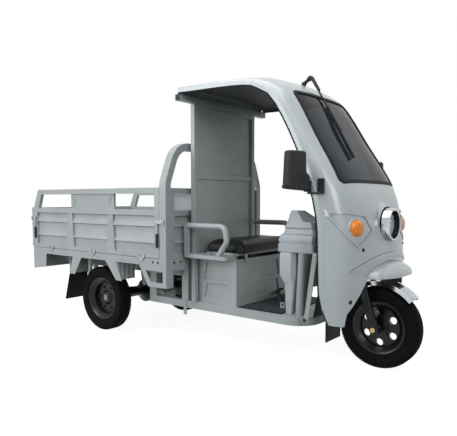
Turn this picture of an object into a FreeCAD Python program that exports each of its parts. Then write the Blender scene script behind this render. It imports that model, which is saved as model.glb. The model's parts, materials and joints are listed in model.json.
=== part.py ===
import FreeCAD, Part
import math
import os

# Cargo tricycle with a half-open cab. Lengths in millimetres.
# X points forward, Y to the rider's left, Z up. The origin is on the ground
# under the middle of the vehicle.

# Wheels and stance
tyre_radius = 245
wheelbase = 2030
front_axle_x = 1325
hub_reach = 76
front_tyre_width = 92
rear_tyre_width = 104
rim_flange_radius = 166
rim_bead_radius = 153
rim_well_radius = 126
rim_wall = 4
tyre_wall = 12
tread_groove_width = 7
tread_groove_depth = 6
wheel_window_count = 6
wheel_window_radius = 22
wheel_window_circle = 92
front_hub_radius = 62
front_hub_length = 76
front_axle_radius = 8
front_axle_half_length = 122
axle_nut_radius = 14
axle_nut_length = 12
running_clearance = 0.05
seat_clearance = 0.3
cut_overrun = 60

# Rear axle, drive and springs
axle_tube_radius = 33
axle_inset = 179
diff_radius = 92
diff_half_width = 78
motor_radius = 78
motor_length = 190
motor_ahead = 152
motor_side = 30
motor_fin_count = 6
motor_fin_height = 7
brake_plate_radius = 104
brake_plate_thickness = 10
hub_shaft_radius = 17
hub_shaft_grip = 60
rear_drum_radius = 98
rear_drum_depth = 46
rear_hub_radius = 58
rear_hub_tip_radius = 40
rear_hub_tip_inset = 46
spring_inset = 50
spring_width = 50
spring_half_span = 330
spring_camber = 58
leaf_thickness = 7
leaf_count = 4
leaf_gap = 0.3
leaf_step_share = 0.2
spring_pad_height = 10
spring_eye_radius = 17
spring_pin_radius = 8
hanger_thickness = 8
clamp_plate = 8
clamp_rod_radius = 6

# Chassis
floor_rail_shift = 44
floor_tube = 50
floor_tube_bottom = 246
floor_front_x = 985
floor_corner_radius = 130
floor_plate = 4
kick_up_x = -331
kick_up_width = 70
upper_rail_width = 60
upper_rail_bottom = 470
upper_rail_rear_x = -1500
floor_cross_x_shares = [0.32, 0.62]
upper_cross_x_shares = [0.02, 0.42, 0.86]
cross_tube = 40
step_lug_x = 33
step_lug_width = 26
step_lug_drop = 100
step_lug_thickness = 6

# Cargo bed
bed_half_width = 545
bed_rear_x = -1546
bed_front_x = 60
bed_rail_bottom = 553
bed_rail_top = 603
bed_rail_width = 40
bed_cross_count = 6
bed_cross_width = 40
bed_sheet = 3
bed_rib_count = 9
bed_rib_width = 46
bed_rib_height = 9
post_length = 60
hoop_top_z = 1391
hoop_tube = 50
hoop_draw_in = 125
hoop_straight = 30
hoop_corner_radius = 150

# Pressed walls of the bed
gate_gap = 3
gate_rear_set = 19
gate_thickness = 28
gate_top_z = 1086
gate_top_rail = 40
gate_window_bottom = 935
gate_mid_rail_bottom = 896
gate_sill_top = 633
gate_stile = 46
gate_slant = 67
gate_slant_start_z = 940
gate_sheet = 3
gate_sheet_depth = 18
ridge_out_depth = 4
stiffener_top_width = 58
stiffener_foot_width = 88
stiffener_shares = [0.336, 0.662]
ridge_height_shares = [0.265, 0.288, 0.383, 0.695, 0.72, 0.892]
centre_plate_shares = [0.342, 0.686]
plate_depth = 10
chevron_width = 9
chevron_reach = 26
chevron_pitch = 22
chevron_rise = 3
hinge_x_shares = [0.17, 0.51, 0.85]
hinge_length = 70
hinge_radius = 6
hinge_leaf_height = 24

# Latches of the gates
latch_z = 850
latch_plate = 8
latch_arm = 15
latch_boss_radius = 13
keeper_radius = 6
keeper_length = 13
keeper_reach = 46
hook_wall = 8
handle_drop = 168
sleeve_radius = 9
sleeve_length = 92
handle_rod_radius = 5
latch_stand_off = 1
latch_play = 1.2

# Brackets under the bed
bracket_sheet = 4
arch_rear_top = [-986, -873]
arch_rear_foot = [-1033, -964]
arch_front_top = [-579, -462]
arch_front_foot = [-459, -396]
arch_foot_z = 416
front_bracket_rear_x = -208
front_bracket_foot_x = -116
front_bracket_foot_z = 408
front_bracket_rim = 34
tail_bracket_length = 190
tail_bracket_foot_z = 418
tail_lamp_width = 150
tail_lamp_height = 62
tail_lamp_depth = 24
tail_lamp_inset = 60
flap_thickness = 6
flap_width = 178
flap_bottom_z = 200
flap_set_back = 70
splash_wave_count = 4
splash_wave_depth = 9

# Cab back wall and roof beam
wall_x = 124
wall_overhang = 18
wall_tube = 34
wall_sheet = 3
wall_drop = 118
wall_rib_z = 1164
wall_rib_height = 46
wall_rib_depth = 9
beam_set = 6
beam_width = 48
beam_height = 40
beam_cap_length = 10
roof_end_sheet = 3

# Moulded cab shell: canopy, pillars and cowl in one
shell_back_x = 124
shell_nose_x = 1368
shell_foot_z = 310
shell_crown_z = 1770
shell_overhang = 154
shell_wall = 5
shell_points = 8
shell_station_count = 27
shell_front_x_shares = [0.982, 0.995, 1.0, 0.987, 0.96, 0.913, 0.769, 0.624, 0.558, 0.463, 0.302, 0.0]
shell_front_z_shares = [0.0, 0.096, 0.198, 0.369, 0.458, 0.541, 0.734, 0.925, 0.968, 0.991, 1.0, 0.988]
shell_edge_x_shares = [0.869, 0.83, 0.825, 0.82, 0.801, 0.77, 0.696, 0.56, 0.497, 0.449, 0.302, 0.0]
shell_edge_z_shares = [0.005, 0.099, 0.191, 0.362, 0.461, 0.546, 0.696, 0.89, 0.922, 0.938, 0.947, 0.953]
shell_width_shares = [0.895, 0.93, 0.94, 0.94, 0.94, 0.934, 0.926, 0.94, 0.96, 0.971, 0.983, 1.0]
shell_square_shares = [3.0, 3.0, 3.0, 3.0, 3.3, 4.0, 3.4, 2.8, 2.7, 2.7, 2.7, 2.7]
trim_depth = 8
trim_over = 2

# Openings in the shell
screen_foot_set = 100
screen_top_set = 148
screen_foot_share = 0.0
screen_top_share = 0.985
screen_corner_radius = 42
gasket_width = 22
gasket_proud = 4
gasket_back = 9
glass_thickness = 4
arch_foot_set = 69
arch_shoulder_set = 89
arch_shoulder_z = 382
visor_set = 220
visor_height = 81
visor_reach = 128
visor_base_z = 565
visor_base_x = 1352
visor_wall = 4
visor_shares = [0.0, 0.4, 0.68, 0.86, 0.96]

# Lamps on the cowl
headlight_z = 859
headlight_radius = 98
headlight_back_x = 1300
headlight_front_x = 1398
headlight_rim = 15
headlight_lens_dome = 14
headlight_lens_set = 12
projector_radius = 26
turn_lamp_x = 1316
turn_lamp_set = 145
turn_lamp_z = 849
turn_lamp_radius = 46
turn_lamp_dome = 16
turn_lamp_cup = 40
turn_lamp_turn = 24
bead_width = 11
bead_proud = 5
bead_half_length = 150
bead_half_height = 100
bead_across_shares = [-0.99, -0.41, 0.51, 0.92, 0.46, 0.03, -0.47, -1.0]
bead_height_shares = [0.88, 0.86, 0.68, -0.16, -0.63, -1.0, -0.44, 0.65]
brow_width = 24
brow_proud = 6
brow_half_width = 416
brow_height = 118
brow_foot_z = 612
border_width = 34
border_proud = 4

# Seat, its box and arm rests
seat_box_front_x = 467
seat_box_set = 24
seat_box_top_z = 611
seat_box_sheet = 3
emboss_depth = 8
emboss_margin = 46
emboss_taper = 26
ledge_overhang = 70
ledge_rear_x = 80
ledge_front_x = 450
ledge_height = 25
ledge_corner_radius = 42
pan_height = 18
pan_inset = 26
cushion_rear_x = 206
cushion_front_x = 524
cushion_overhang = 16
cushion_height = 74
cushion_corner_radius = 40
cushion_draw = 7
cushion_z_shares = [0.0, 0.16, 0.5, 0.74, 0.9, 1.0]
cushion_inset_shares = [0.2, 0.03, 0.0, 0.12, 0.42, 1.0]
cushion_inset = 48
seat_hinge_radius = 6
seat_ear_wall = 4
arm_tube_radius = 19
arm_set = 19
arm_top_z = 829
arm_front_x = 430
arm_foot_x = 378
arm_bend_radius = 88
arm_post_width = 38
arm_post_depth = 22
hasp_width = 30
hasp_length = 58
hasp_thickness = 3
hasp_y = -210
battery_length = 250
battery_margin = 46
battery_height = 225

# Floor, dash and braces
mat_thickness = 5
mat_rear_x = 480
dash_set = 68
dash_rear_x = 752
dash_front_x = 1012
dash_belt_bottom = 682
dash_belt_top = 732
dash_corner_radius = 20
hump_top_z = 938
hump_inner_y = 82
hump_level_shares = [0.0, 0.12, 0.28, 0.31, 0.46, 0.49, 0.65, 0.68, 0.96, 1.0]
hump_rear_shares = [0.03, 0.0, 0.07, 0.1, 0.14, 0.13, 0.18, 0.19, 0.25, 0.28]
hump_front_shares = [0.98, 1.0, 0.985, 0.975, 0.96, 0.955, 0.91, 0.87, 0.6, 0.56]
hump_outer_shares = [0.03, 0.0, 0.05, 0.13, 0.16, 0.12, 0.17, 0.18, 0.25, 0.28]
hump_inner_shares = [1.0, 1.0, 0.98, 0.97, 0.95, 0.94, 0.9, 0.87, 0.56, 0.52]
hump_rear_cut_shares = [0.08, 0.08, 0.08, 0.08, 0.08, 0.08, 0.08, 0.08, 0.05, 0.04]
hump_front_cut_shares = [0.08, 0.08, 0.08, 0.08, 0.08, 0.08, 0.1, 0.34, 0.2, 0.18]
leg_rear_x = 770
leg_front_x = 877
leg_depth = 96
leg_step_z = 535
leg_foot_set = 48
leg_corner_cut = 25
leg_lip = 20
knee_panel_x = 850
knee_panel_sheet = 6
knee_panel_bottom = 430
column_radius = 28
column_gap = 25
column_lean = 18
column_set = 17
pipe_radius = 14
pipe_x = 883
pipe_inset = 133
pipe_clamp = 38
pipe_clamp_height = 58
pipe_clamp_share = 0.58
brace_width = 28
brace_thickness = 6
brace_foot_x = 1042
brace_top_x = 1098
brace_top_z = 705
brace_overhang = 66
brace_foot_tab = 150
brace_bolt_radius = 9

# Steering and fork
rake_angle = 18
fork_offset = 36
fork_leg_y = 90
slider_depth = 52
slider_width = 38
slider_top = 286
slider_bottom = -26
slider_window_height = 74
slider_window_width = 22
slider_window_depth = 4
stanchion_radius = 16
stanchion_bottom = 90
yoke_bottom = 424
yoke_top = 458
yoke_reach = 26
steerer_radius = 14
steerer_top = 700
head_bottom = 482
head_top = 640
head_radius = 27
bearing_height = 16
bearing_outer_radius = 22
down_tube_radius = 16
down_tube_spread = 104
down_tube_top = 600
cowl_stay_radius = 9
stem_radius = 19
stem_clamp_radius = 22
bar_height = 866
bar_radius = 11
bar_half_width = 318
bar_rise = 26
bar_sweep = 44
bar_bend_radius = 60
bar_flat_half = 70
grip_radius = 17
grip_length = 118
lever_length = 150
lever_width = 12
lever_depth = 16
lever_gap = 62
lever_mount = 24
guard_radius = 288
guard_half_width = 58
guard_skirt = 34
guard_sheet = 2.5
guard_front_angle = 42
guard_rear_angle = 112
guard_stay_radius = 5
drum_plate_radius = 58
drum_plate_thickness = 5
brake_arm_length = 74
brake_arm_width = 16
inner_guard_sheet = 3
inner_guard_x_shares = [0.0, 0.33, 1.0]
inner_guard_z_shares = [0.0, 0.42, 1.0]
inner_guard_length = 74
inner_guard_top_z = 590
front_flap_half = 100
front_flap_bottom = 112

# Mirrors, wiper and pedal
mirror_plate_x = 1160
mirror_plate_z = 1078
mirror_plate_length = 40
mirror_plate_height = 84
mirror_plate_thickness = 8
mirror_pivot_x = 1100
mirror_pivot_set = 7
mirror_pivot_radius = 12
mirror_pivot_height = 62
mirror_width = 160
mirror_height = 214
mirror_depth = 46
mirror_edge_radius = 22
mirror_bottom_z = 1052
mirror_turn = 19
mirror_glass = 3
mirror_rim = 9
mirror_corner_radius = 18
mirror_across_shares = [0.04, 0.0, 0.16, 0.19, 0.93, 1.0]
mirror_height_shares = [0.0, 0.38, 0.46, 1.0, 1.0, 0.05]
mirror_groove = 3
mirror_groove_height = 7
mirror_groove_shares = [0.2, 0.28, 0.36]
mirror_groove_span_shares = [0.1, 0.82]
mirror_peg_radius = 11
mirror_peg_length = 20
wiper_base_x = 768
wiper_post_length = 56
wiper_post_radius = 11
wiper_boss_radius = 16
wiper_arm_width = 12
wiper_arm_height = 8
wiper_head_length = 120
wiper_head_width = 28
wiper_blade_top = 250
wiper_blade_bottom = 640
wiper_blade_width = 14
wiper_blade_height = 16
wiper_glass_gap = 5
wiper_rest_angle = 9
pedal_y = -150
pedal_pivot_x = 735
pedal_pivot_z = 326
pedal_arm = 16
pedal_pad_length = 62
pedal_pad_width = 74
pedal_pad_thickness = 12
pedal_drop = 78
pedal_pin_radius = 7

axle_tube_half_length = bed_half_width - axle_inset
rear_half_track = axle_tube_half_length + hub_reach
spring_y = axle_tube_half_length - spring_inset
upper_rail_half_gap = spring_y - upper_rail_width / 2
floor_half_width = upper_rail_half_gap + floor_rail_shift
hoop_half_top = bed_half_width - hoop_draw_in
wall_half_width = floor_half_width + wall_overhang
wall_top_z = shell_crown_z - wall_drop
shell_half_width = floor_half_width + shell_overhang
beam_half_length = shell_half_width - beam_set
screen_foot_half = shell_half_width - screen_foot_set
screen_top_half = shell_half_width - screen_top_set
arch_foot_half = shell_half_width - arch_foot_set
arch_shoulder_half = shell_half_width - arch_shoulder_set
visor_half_width = shell_half_width - visor_set
turn_lamp_y = shell_half_width - turn_lamp_set
seat_box_half_width = floor_half_width - seat_box_set
ledge_half_width = floor_half_width + ledge_overhang
cushion_half_width = seat_box_half_width + cushion_overhang
arm_y = ledge_half_width - arm_set
battery_width = 2 * (seat_box_half_width - battery_margin)
dash_half_width = floor_half_width - dash_set
inner_guard_half = floor_half_width - dash_set
column_x = leg_front_x + column_radius + column_gap
column_y = dash_half_width - column_set
brace_y = floor_half_width + brace_overhang
mirror_pivot_y = shell_half_width - mirror_pivot_set
rear_axle_x = front_axle_x - wheelbase
axle_z = tyre_radius
floor_top_z = floor_tube_bottom + floor_tube + floor_plate
wall_foot_z = floor_tube_bottom + floor_tube
gate_bottom_z = bed_rail_top + gate_gap
gate_front_x = bed_front_x - post_length - gate_gap
gate_rear_x = bed_rear_x + gate_rear_set
tail_inner_x = gate_rear_x - gate_gap
rear_origin = FreeCAD.Vector(rear_axle_x, 0, axle_z)
front_origin = FreeCAD.Vector(front_axle_x, 0, axle_z)
x_axis = FreeCAD.Vector(1, 0, 0)
y_axis = FreeCAD.Vector(0, 1, 0)
z_axis = FreeCAD.Vector(0, 0, 1)
world_origin = FreeCAD.Vector(0, 0, 0)


# Drawing helpers
def vec(x, y, z):
    return FreeCAD.Vector(x, y, z)


def box(x0, x1, y0, y1, z0, z1):
    return Part.makeBox(x1 - x0, y1 - y0, z1 - z0, vec(x0, y0, z0))


def prism(points, axis, start, end):
    """Extrude an outline, given in the two other axes in order, along one axis."""
    place = {
        "x": lambda a, b: vec(start, a, b),
        "y": lambda a, b: vec(a, start, b),
        "z": lambda a, b: vec(a, b, start),
    }[axis]
    direction = {"x": x_axis, "y": y_axis, "z": z_axis}[axis]
    corners = [place(a, b) for a, b in points]
    face = Part.Face(Part.makePolygon(corners + corners[:1]))
    return face.extrude(direction * (end - start))


def ring(profile, centre, axis, angle=360):
    """Revolve an outline of (radius, distance along the axis) about an axis through centre."""
    side = z_axis if abs(axis.z) < abs(axis.x) + abs(axis.y) else x_axis
    corners = [centre + side * radius + axis * along for radius, along in profile]
    face = Part.Face(Part.makePolygon(corners + corners[:1]))
    return face.revolve(centre, axis, angle)


def rod(start, end, radius):
    return Part.makeCylinder(radius, (end - start).Length, start, end - start)


def fused(shapes):
    whole = shapes[0].multiFuse(shapes[1:]) if len(shapes) > 1 else shapes[0]
    return whole.removeSplitter()


def mirrored(shape):
    return shape.mirror(world_origin, y_axis)


def both_sides(shape):
    return [shape, mirrored(shape)]


def bent_path(points, radius):
    """Straight runs through the points, joined by tangent arcs of one radius."""
    edges = []
    start = points[0]
    for before, corner, after in zip(points, points[1:], points[2:]):
        inward = (before - corner).normalize()
        outward = (after - corner).normalize()
        half_turn = (math.pi - inward.getAngle(outward)) / 2
        tangent = radius * math.tan(half_turn)
        bisector = (inward + outward).normalize()
        middle = corner + bisector * (radius / math.cos(half_turn) - radius)
        arc_start = corner + inward * tangent
        arc_end = corner + outward * tangent
        edges.append(Part.LineSegment(start, arc_start).toShape())
        edges.append(Part.Arc(arc_start, middle, arc_end).toShape())
        start = arc_end
    edges.append(Part.LineSegment(start, points[-1]).toShape())
    return Part.Wire(edges)


def bent_tube(points, bend, radius):
    section = Part.Wire([Part.makeCircle(radius, points[0], points[1] - points[0])])
    return bent_path(points, bend).makePipe(Part.Face(section))


def bent_bar(points, bend, across, depth, flat):
    """Sweep a rectangle: depth along the flat direction, across square to it."""
    along = (points[1] - points[0]).normalize()
    side = along.cross(flat).normalize()
    half_across = side * (across / 2)
    half_depth = flat * (depth / 2)
    corners = [
        points[0] + half_across + half_depth,
        points[0] - half_across + half_depth,
        points[0] - half_across - half_depth,
        points[0] + half_across - half_depth,
    ]
    section = Part.makePolygon(corners + corners[:1])
    return bent_path(points, bend).makePipe(Part.Face(section))


def flat_bar(start, end, width, thickness, flat):
    """A straight strip from start to end whose thin side faces along flat."""
    along = end - start
    side = along.cross(flat).normalize() * (width / 2)
    corners = [start + side, end + side, end - side, start - side]
    face = Part.Face(Part.makePolygon(corners + corners[:1]))
    return face.extrude(flat * thickness)


def rounded_outline(points, radius, place):
    """Close an outline with each corner rounded by one radius."""
    edges = []
    ends = []
    count = len(points)
    for index in range(count):
        corner = place(*points[index])
        inward = (place(*points[index - 1]) - corner).normalize()
        outward = (place(*points[(index + 1) % count]) - corner).normalize()
        half_turn = (math.pi - inward.getAngle(outward)) / 2
        tangent = radius * math.tan(half_turn)
        bisector = (inward + outward).normalize()
        middle = corner + bisector * (radius / math.cos(half_turn) - radius)
        ends.append((corner + inward * tangent, middle, corner + outward * tangent))
    for index in range(count):
        edges.append(Part.Arc(*ends[index]).toShape())
        edges.append(Part.LineSegment(ends[index][2], ends[(index + 1) % count][0]).toShape())
    return Part.Wire(edges)


def save(name, shapes):
    solids = []
    for shape in shapes:
        solids.extend(shape.Solids)
    whole = solids[0] if len(solids) == 1 else Part.makeCompound(solids)
    whole.exportStep(os.path.join("parts", name + ".step"))


# Wheels
def tyre(centre, width):
    half = width / 2
    groove = tread_groove_width / 2
    crown_half = half * 0.62
    groove_y = crown_half / 2
    groove_radius = tyre_radius - tread_groove_depth
    shoulder_radius = tyre_radius - tyre_wall * 0.6
    side_radius = (tyre_radius + rim_bead_radius) / 2
    right = [
        (tyre_radius, 0),
        (tyre_radius, groove_y - groove),
        (groove_radius, groove_y - groove),
        (groove_radius, groove_y + groove),
        (tyre_radius, groove_y + groove),
        (tyre_radius - tyre_wall * 0.15, crown_half),
        (shoulder_radius, half * 0.84),
        (side_radius + tyre_wall, half),
        (side_radius - tyre_wall, half),
        (rim_bead_radius + tyre_wall, half * 0.8),
        (rim_bead_radius, half * 0.72),
    ]
    inner = [
        (rim_bead_radius, half * 0.72 - tyre_wall),
        (side_radius, half - tyre_wall),
        (tyre_radius - tyre_wall * 1.6, crown_half),
    ]
    outline = right + inner
    profile = outline + [(radius, -along) for radius, along in reversed(outline)]
    return ring(profile[1:-1], centre, y_axis)


def rim_barrel(centre, width):
    bead_half = width / 2 * 0.72
    lip_half = width / 2 * 0.82
    well_half = bead_half * 0.4
    outside = [
        (rim_flange_radius - rim_wall, lip_half),
        (rim_bead_radius - seat_clearance, bead_half),
        (rim_well_radius, well_half),
    ]
    outline = outside + [(radius, -along) for radius, along in reversed(outside)]
    inside = [(radius - rim_wall, along) for radius, along in reversed(outline)]
    return ring(outline + inside, centre, y_axis)


def window_cutter(centre, count, circle, radius, half_length):
    cutters = []
    for index in range(count):
        angle = 2 * math.pi * (index + 0.5) / count
        place = centre + vec(circle * math.cos(angle), -half_length, circle * math.sin(angle))
        cutters.append(Part.makeCylinder(radius, 2 * half_length, place, y_axis))
    return Part.makeCompound(cutters)


def front_rim():
    half = front_hub_length / 2
    disc_edge = rim_well_radius - rim_wall / 2
    bore = front_axle_radius + running_clearance
    disc = ring(
        [
            (bore, -half),
            (front_hub_radius, -half),
            (front_hub_radius, -half * 0.5),
            (disc_edge, -rim_wall),
            (disc_edge, rim_wall),
            (front_hub_radius, half * 0.3),
            (front_hub_radius * 0.5, half),
            (bore, half),
        ],
        front_origin,
        y_axis,
    )
    disc = disc.cut(window_cutter(front_origin, wheel_window_count, wheel_window_circle,
                                  wheel_window_radius, front_hub_length))
    return fused([rim_barrel(front_origin, front_tyre_width), disc])


def rear_centre(side):
    return vec(rear_axle_x, side * rear_half_track, axle_z)


def rear_rim(side):
    centre = rear_centre(side)
    out = y_axis * side
    inner_y = axle_tube_half_length + brake_plate_thickness + 2 * seat_clearance - rear_half_track
    drum_out = inner_y + rear_drum_depth
    disc_edge = rim_well_radius - rim_wall / 2
    tip = rear_tyre_width / 2 - rear_hub_tip_inset
    shaft_end = inner_y - hub_shaft_grip
    body = ring(
        [
            (0, shaft_end),
            (hub_shaft_radius, shaft_end),
            (hub_shaft_radius, inner_y),
            (rear_drum_radius, inner_y),
            (rear_drum_radius, drum_out),
            (disc_edge, drum_out),
            (disc_edge, drum_out + 2 * rim_wall),
            (rear_hub_radius * 1.3, drum_out + 2 * rim_wall),
            (rear_hub_radius, tip - rear_hub_radius * 0.3),
            (rear_hub_tip_radius, tip),
            (0, tip),
        ],
        centre,
        out,
    )
    nuts = []
    for index in range(wheel_window_count):
        angle = 2 * math.pi * index / wheel_window_count
        spot = vec(math.cos(angle), 0, math.sin(angle)) * (rear_drum_radius * 0.88)
        start = centre + spot + out * drum_out
        nuts.append(rod(start, start + out * (axle_nut_length + 2 * rim_wall), axle_nut_radius * 0.6))
    return fused([rim_barrel(centre, rear_tyre_width), body] + nuts)


# Rear axle, motor and leaf springs
def rear_axle_parts():
    tube = ring(
        [
            (hub_shaft_radius + running_clearance, axle_tube_half_length),
            (axle_tube_radius, axle_tube_half_length),
            (axle_tube_radius, diff_half_width),
            (diff_radius, diff_half_width * 0.55),
            (diff_radius, -diff_half_width * 0.55),
            (axle_tube_radius, -diff_half_width),
            (axle_tube_radius, -axle_tube_half_length),
            (hub_shaft_radius + running_clearance, -axle_tube_half_length),
        ],
        rear_origin,
        y_axis,
    )
    plate = ring(
        [
            (hub_shaft_radius + running_clearance, axle_tube_half_length),
            (brake_plate_radius, axle_tube_half_length),
            (brake_plate_radius, axle_tube_half_length + brake_plate_thickness),
            (hub_shaft_radius + running_clearance, axle_tube_half_length + brake_plate_thickness),
        ],
        rear_origin,
        y_axis,
    )
    pad_half = spring_width * 0.9
    pad_top = axle_z + axle_tube_radius + spring_pad_height
    pad = box(rear_axle_x - pad_half, rear_axle_x + pad_half, spring_y - spring_width / 2,
              spring_y + spring_width / 2, axle_z + axle_tube_radius * 0.7, pad_top)
    body = fused([tube] + both_sides(pad))
    rise = spring_camber * (pad_half / spring_half_span) ** 2
    stack = leaf_count * (leaf_thickness + leaf_gap) + rise
    clamps = []
    for along in (-pad_half * 0.7, pad_half * 0.7):
        for across in (-1, 1):
            spot_y = spring_y + across * (spring_width / 2 + clamp_rod_radius + 1 * leaf_gap)
            start = vec(rear_axle_x + along, spot_y, axle_z - axle_tube_radius)
            end = vec(rear_axle_x + along, spot_y, pad_top + stack + 2 * clamp_plate)
            clamps.append(rod(start, end, clamp_rod_radius))
    reach = spring_width / 2 + 3 * clamp_rod_radius
    top = box(rear_axle_x - pad_half, rear_axle_x + pad_half, spring_y - reach, spring_y + reach,
              pad_top + stack + leaf_gap, pad_top + stack + leaf_gap + clamp_plate)
    clamp = fused([top] + clamps).cut(body)
    return [body] + both_sides(plate) + both_sides(clamp)


def motor_parts():
    centre = rear_origin + vec(motor_ahead, motor_side, 0)
    half = motor_length / 2
    profile = [(0, -half), (motor_radius * 0.8, -half), (motor_radius, -half * 0.82)]
    for index in range(motor_fin_count):
        along = half * (1.3 * index / (motor_fin_count - 1) - 0.72)
        profile += [
            (motor_radius, along),
            (motor_radius + motor_fin_height, along),
            (motor_radius + motor_fin_height, along + rim_wall),
            (motor_radius, along + rim_wall),
        ]
    profile += [(motor_radius, half * 0.7), (motor_radius * 0.62, half), (0, half)]
    body = ring(profile, centre, y_axis)
    case_front = motor_ahead - motor_radius * 0.3
    gear_case = box(rear_axle_x, rear_axle_x + case_front, motor_side - half * 0.3, motor_side + half * 0.3,
                    axle_z - diff_radius * 0.62, axle_z + diff_radius * 0.62)
    whole = fused([body, gear_case])
    clear = ring(
        [
            (0, -diff_half_width * 2),
            (axle_tube_radius, -diff_half_width * 2),
            (axle_tube_radius, -diff_half_width),
            (diff_radius, -diff_half_width * 0.55),
            (diff_radius, diff_half_width * 0.55),
            (axle_tube_radius, diff_half_width),
            (axle_tube_radius, diff_half_width * 2),
            (0, diff_half_width * 2),
        ],
        rear_origin,
        y_axis,
    )
    return [whole.cut(clear)]


def spring_bottom_z():
    return axle_z + axle_tube_radius + spring_pad_height + leaf_gap / 2


def leaf_band(half_span, bottom_z, thickness):
    """One leaf as a band between two arcs that share a centre line."""
    full_rise = spring_camber * (half_span / spring_half_span) ** 2
    radius = (half_span ** 2 + full_rise ** 2) / (2 * full_rise)
    centre = vec(rear_axle_x, spring_y - spring_width / 2, bottom_z + radius)
    sweep = math.asin(half_span / radius)

    def at(angle, distance):
        return centre + vec(math.sin(angle), 0, -math.cos(angle)) * distance

    inner = radius - thickness
    edges = [
        Part.Arc(at(-sweep, radius), at(0, radius), at(sweep, radius)).toShape(),
        Part.LineSegment(at(sweep, radius), at(sweep, inner)).toShape(),
        Part.Arc(at(sweep, inner), at(0, inner), at(-sweep, inner)).toShape(),
        Part.LineSegment(at(-sweep, inner), at(-sweep, radius)).toShape(),
    ]
    return Part.Face(Part.Wire(edges)).extrude(y_axis * spring_width)


def eye_centre(end):
    top_leaf_bottom = spring_bottom_z() + (leaf_count - 1) * (leaf_thickness + leaf_gap)
    return vec(rear_axle_x + end * spring_half_span, spring_y,
               top_leaf_bottom + spring_camber + spring_eye_radius)


def leaf_springs():
    leaves = []
    for index in range(leaf_count):
        span = spring_half_span * (1 - leaf_step_share * (leaf_count - 1 - index))
        bottom = spring_bottom_z() + index * (leaf_thickness + leaf_gap)
        leaves.append(leaf_band(span, bottom, leaf_thickness))
    eyes = []
    for end in (-1, 1):
        centre = eye_centre(end)
        start = centre - y_axis * (spring_width / 2)
        eyes.append(rod(start, start + y_axis * spring_width, spring_eye_radius))
    bores = []
    for end in (-1, 1):
        centre = eye_centre(end)
        start = centre - y_axis * spring_width
        bores.append(rod(start, start + y_axis * (2 * spring_width), spring_pin_radius + running_clearance))
    main = fused([leaves[-1]] + eyes).cut(Part.makeCompound(bores))
    return [shape for leaf in leaves[:-1] + [main] for shape in both_sides(leaf)]


def spring_hangers():
    hangers = []
    for end in (-1, 1):
        centre = eye_centre(end)
        pin_half = spring_width / 2 + hanger_thickness + leaf_gap
        pieces = [rod(centre - y_axis * pin_half, centre + y_axis * pin_half, spring_pin_radius)]
        for side in (-1, 1):
            near = spring_y + side * (spring_width / 2 + leaf_gap)
            far = near + side * hanger_thickness
            pieces.append(prism(
                [
                    (centre.x - 2 * spring_eye_radius, upper_rail_bottom),
                    (centre.x + 2 * spring_eye_radius, upper_rail_bottom),
                    (centre.x + spring_eye_radius, centre.z - spring_eye_radius),
                    (centre.x - spring_eye_radius, centre.z - spring_eye_radius),
                ],
                "y", min(near, far), max(near, far)))
        hangers.extend(both_sides(fused(pieces)))
    return hangers


# Chassis
def chassis_frame():
    mid_z = floor_tube_bottom + floor_tube / 2
    rail_y = floor_half_width - floor_tube / 2
    loop = bent_bar(
        [
            vec(kick_up_x, -rail_y, mid_z),
            vec(floor_front_x, -rail_y, mid_z),
            vec(floor_front_x, rail_y, mid_z),
            vec(kick_up_x, rail_y, mid_z),
        ],
        floor_corner_radius, floor_tube, floor_tube, z_axis)
    solids = [loop]
    inner = floor_half_width - floor_tube
    for share in floor_cross_x_shares:
        at = kick_up_x + share * (floor_front_x - kick_up_x)
        solids.append(box(at, at + cross_tube, -inner, inner, floor_tube_bottom,
                          floor_tube_bottom + cross_tube))
    top = floor_tube_bottom + floor_tube
    post = box(kick_up_x, kick_up_x + kick_up_width, inner, floor_half_width, top, upper_rail_bottom)
    rail_out = upper_rail_half_gap + upper_rail_width
    rail_front_x = bed_front_x - post_length
    upper = box(upper_rail_rear_x, rail_front_x, upper_rail_half_gap, rail_out, upper_rail_bottom,
                bed_rail_bottom)
    cab_post = box(rail_front_x, bed_front_x - gate_gap, inner, floor_half_width, top, bed_rail_bottom)
    solids += both_sides(post) + both_sides(upper) + both_sides(cab_post)
    for share in upper_cross_x_shares:
        at = upper_rail_rear_x + share * (rail_front_x - upper_rail_rear_x)
        solids.append(box(at, at + cross_tube, -upper_rail_half_gap, upper_rail_half_gap,
                          bed_rail_bottom - cross_tube, bed_rail_bottom))
    lug = box(step_lug_x - step_lug_width / 2, step_lug_x + step_lug_width / 2, floor_half_width,
              floor_half_width + step_lug_thickness, top - step_lug_drop, top)
    solids += both_sides(lug)
    return solids


# Cargo bed
def bed_frame():
    inner = bed_half_width - bed_rail_width
    rail = box(bed_rear_x, bed_front_x, inner, bed_half_width, bed_rail_bottom, bed_rail_top)
    solids = both_sides(rail)
    front = box(bed_front_x - bed_rail_width, bed_front_x, -inner, inner, bed_rail_bottom, bed_rail_top)
    rear = box(bed_rear_x, bed_rear_x + bed_rail_width, -inner, inner, bed_rail_bottom, bed_rail_top)
    solids += [front, rear]
    first = bed_rear_x + bed_rail_width
    last = bed_front_x - bed_rail_width
    cross_top = bed_rail_top - 4 * bed_sheet
    for index in range(bed_cross_count):
        middle = first + (last - first) * (index + 1) / (bed_cross_count + 1)
        solids.append(box(middle - bed_cross_width / 2, middle + bed_cross_width / 2, -inner, inner,
                          bed_rail_bottom, cross_top))
    return solids


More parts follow.
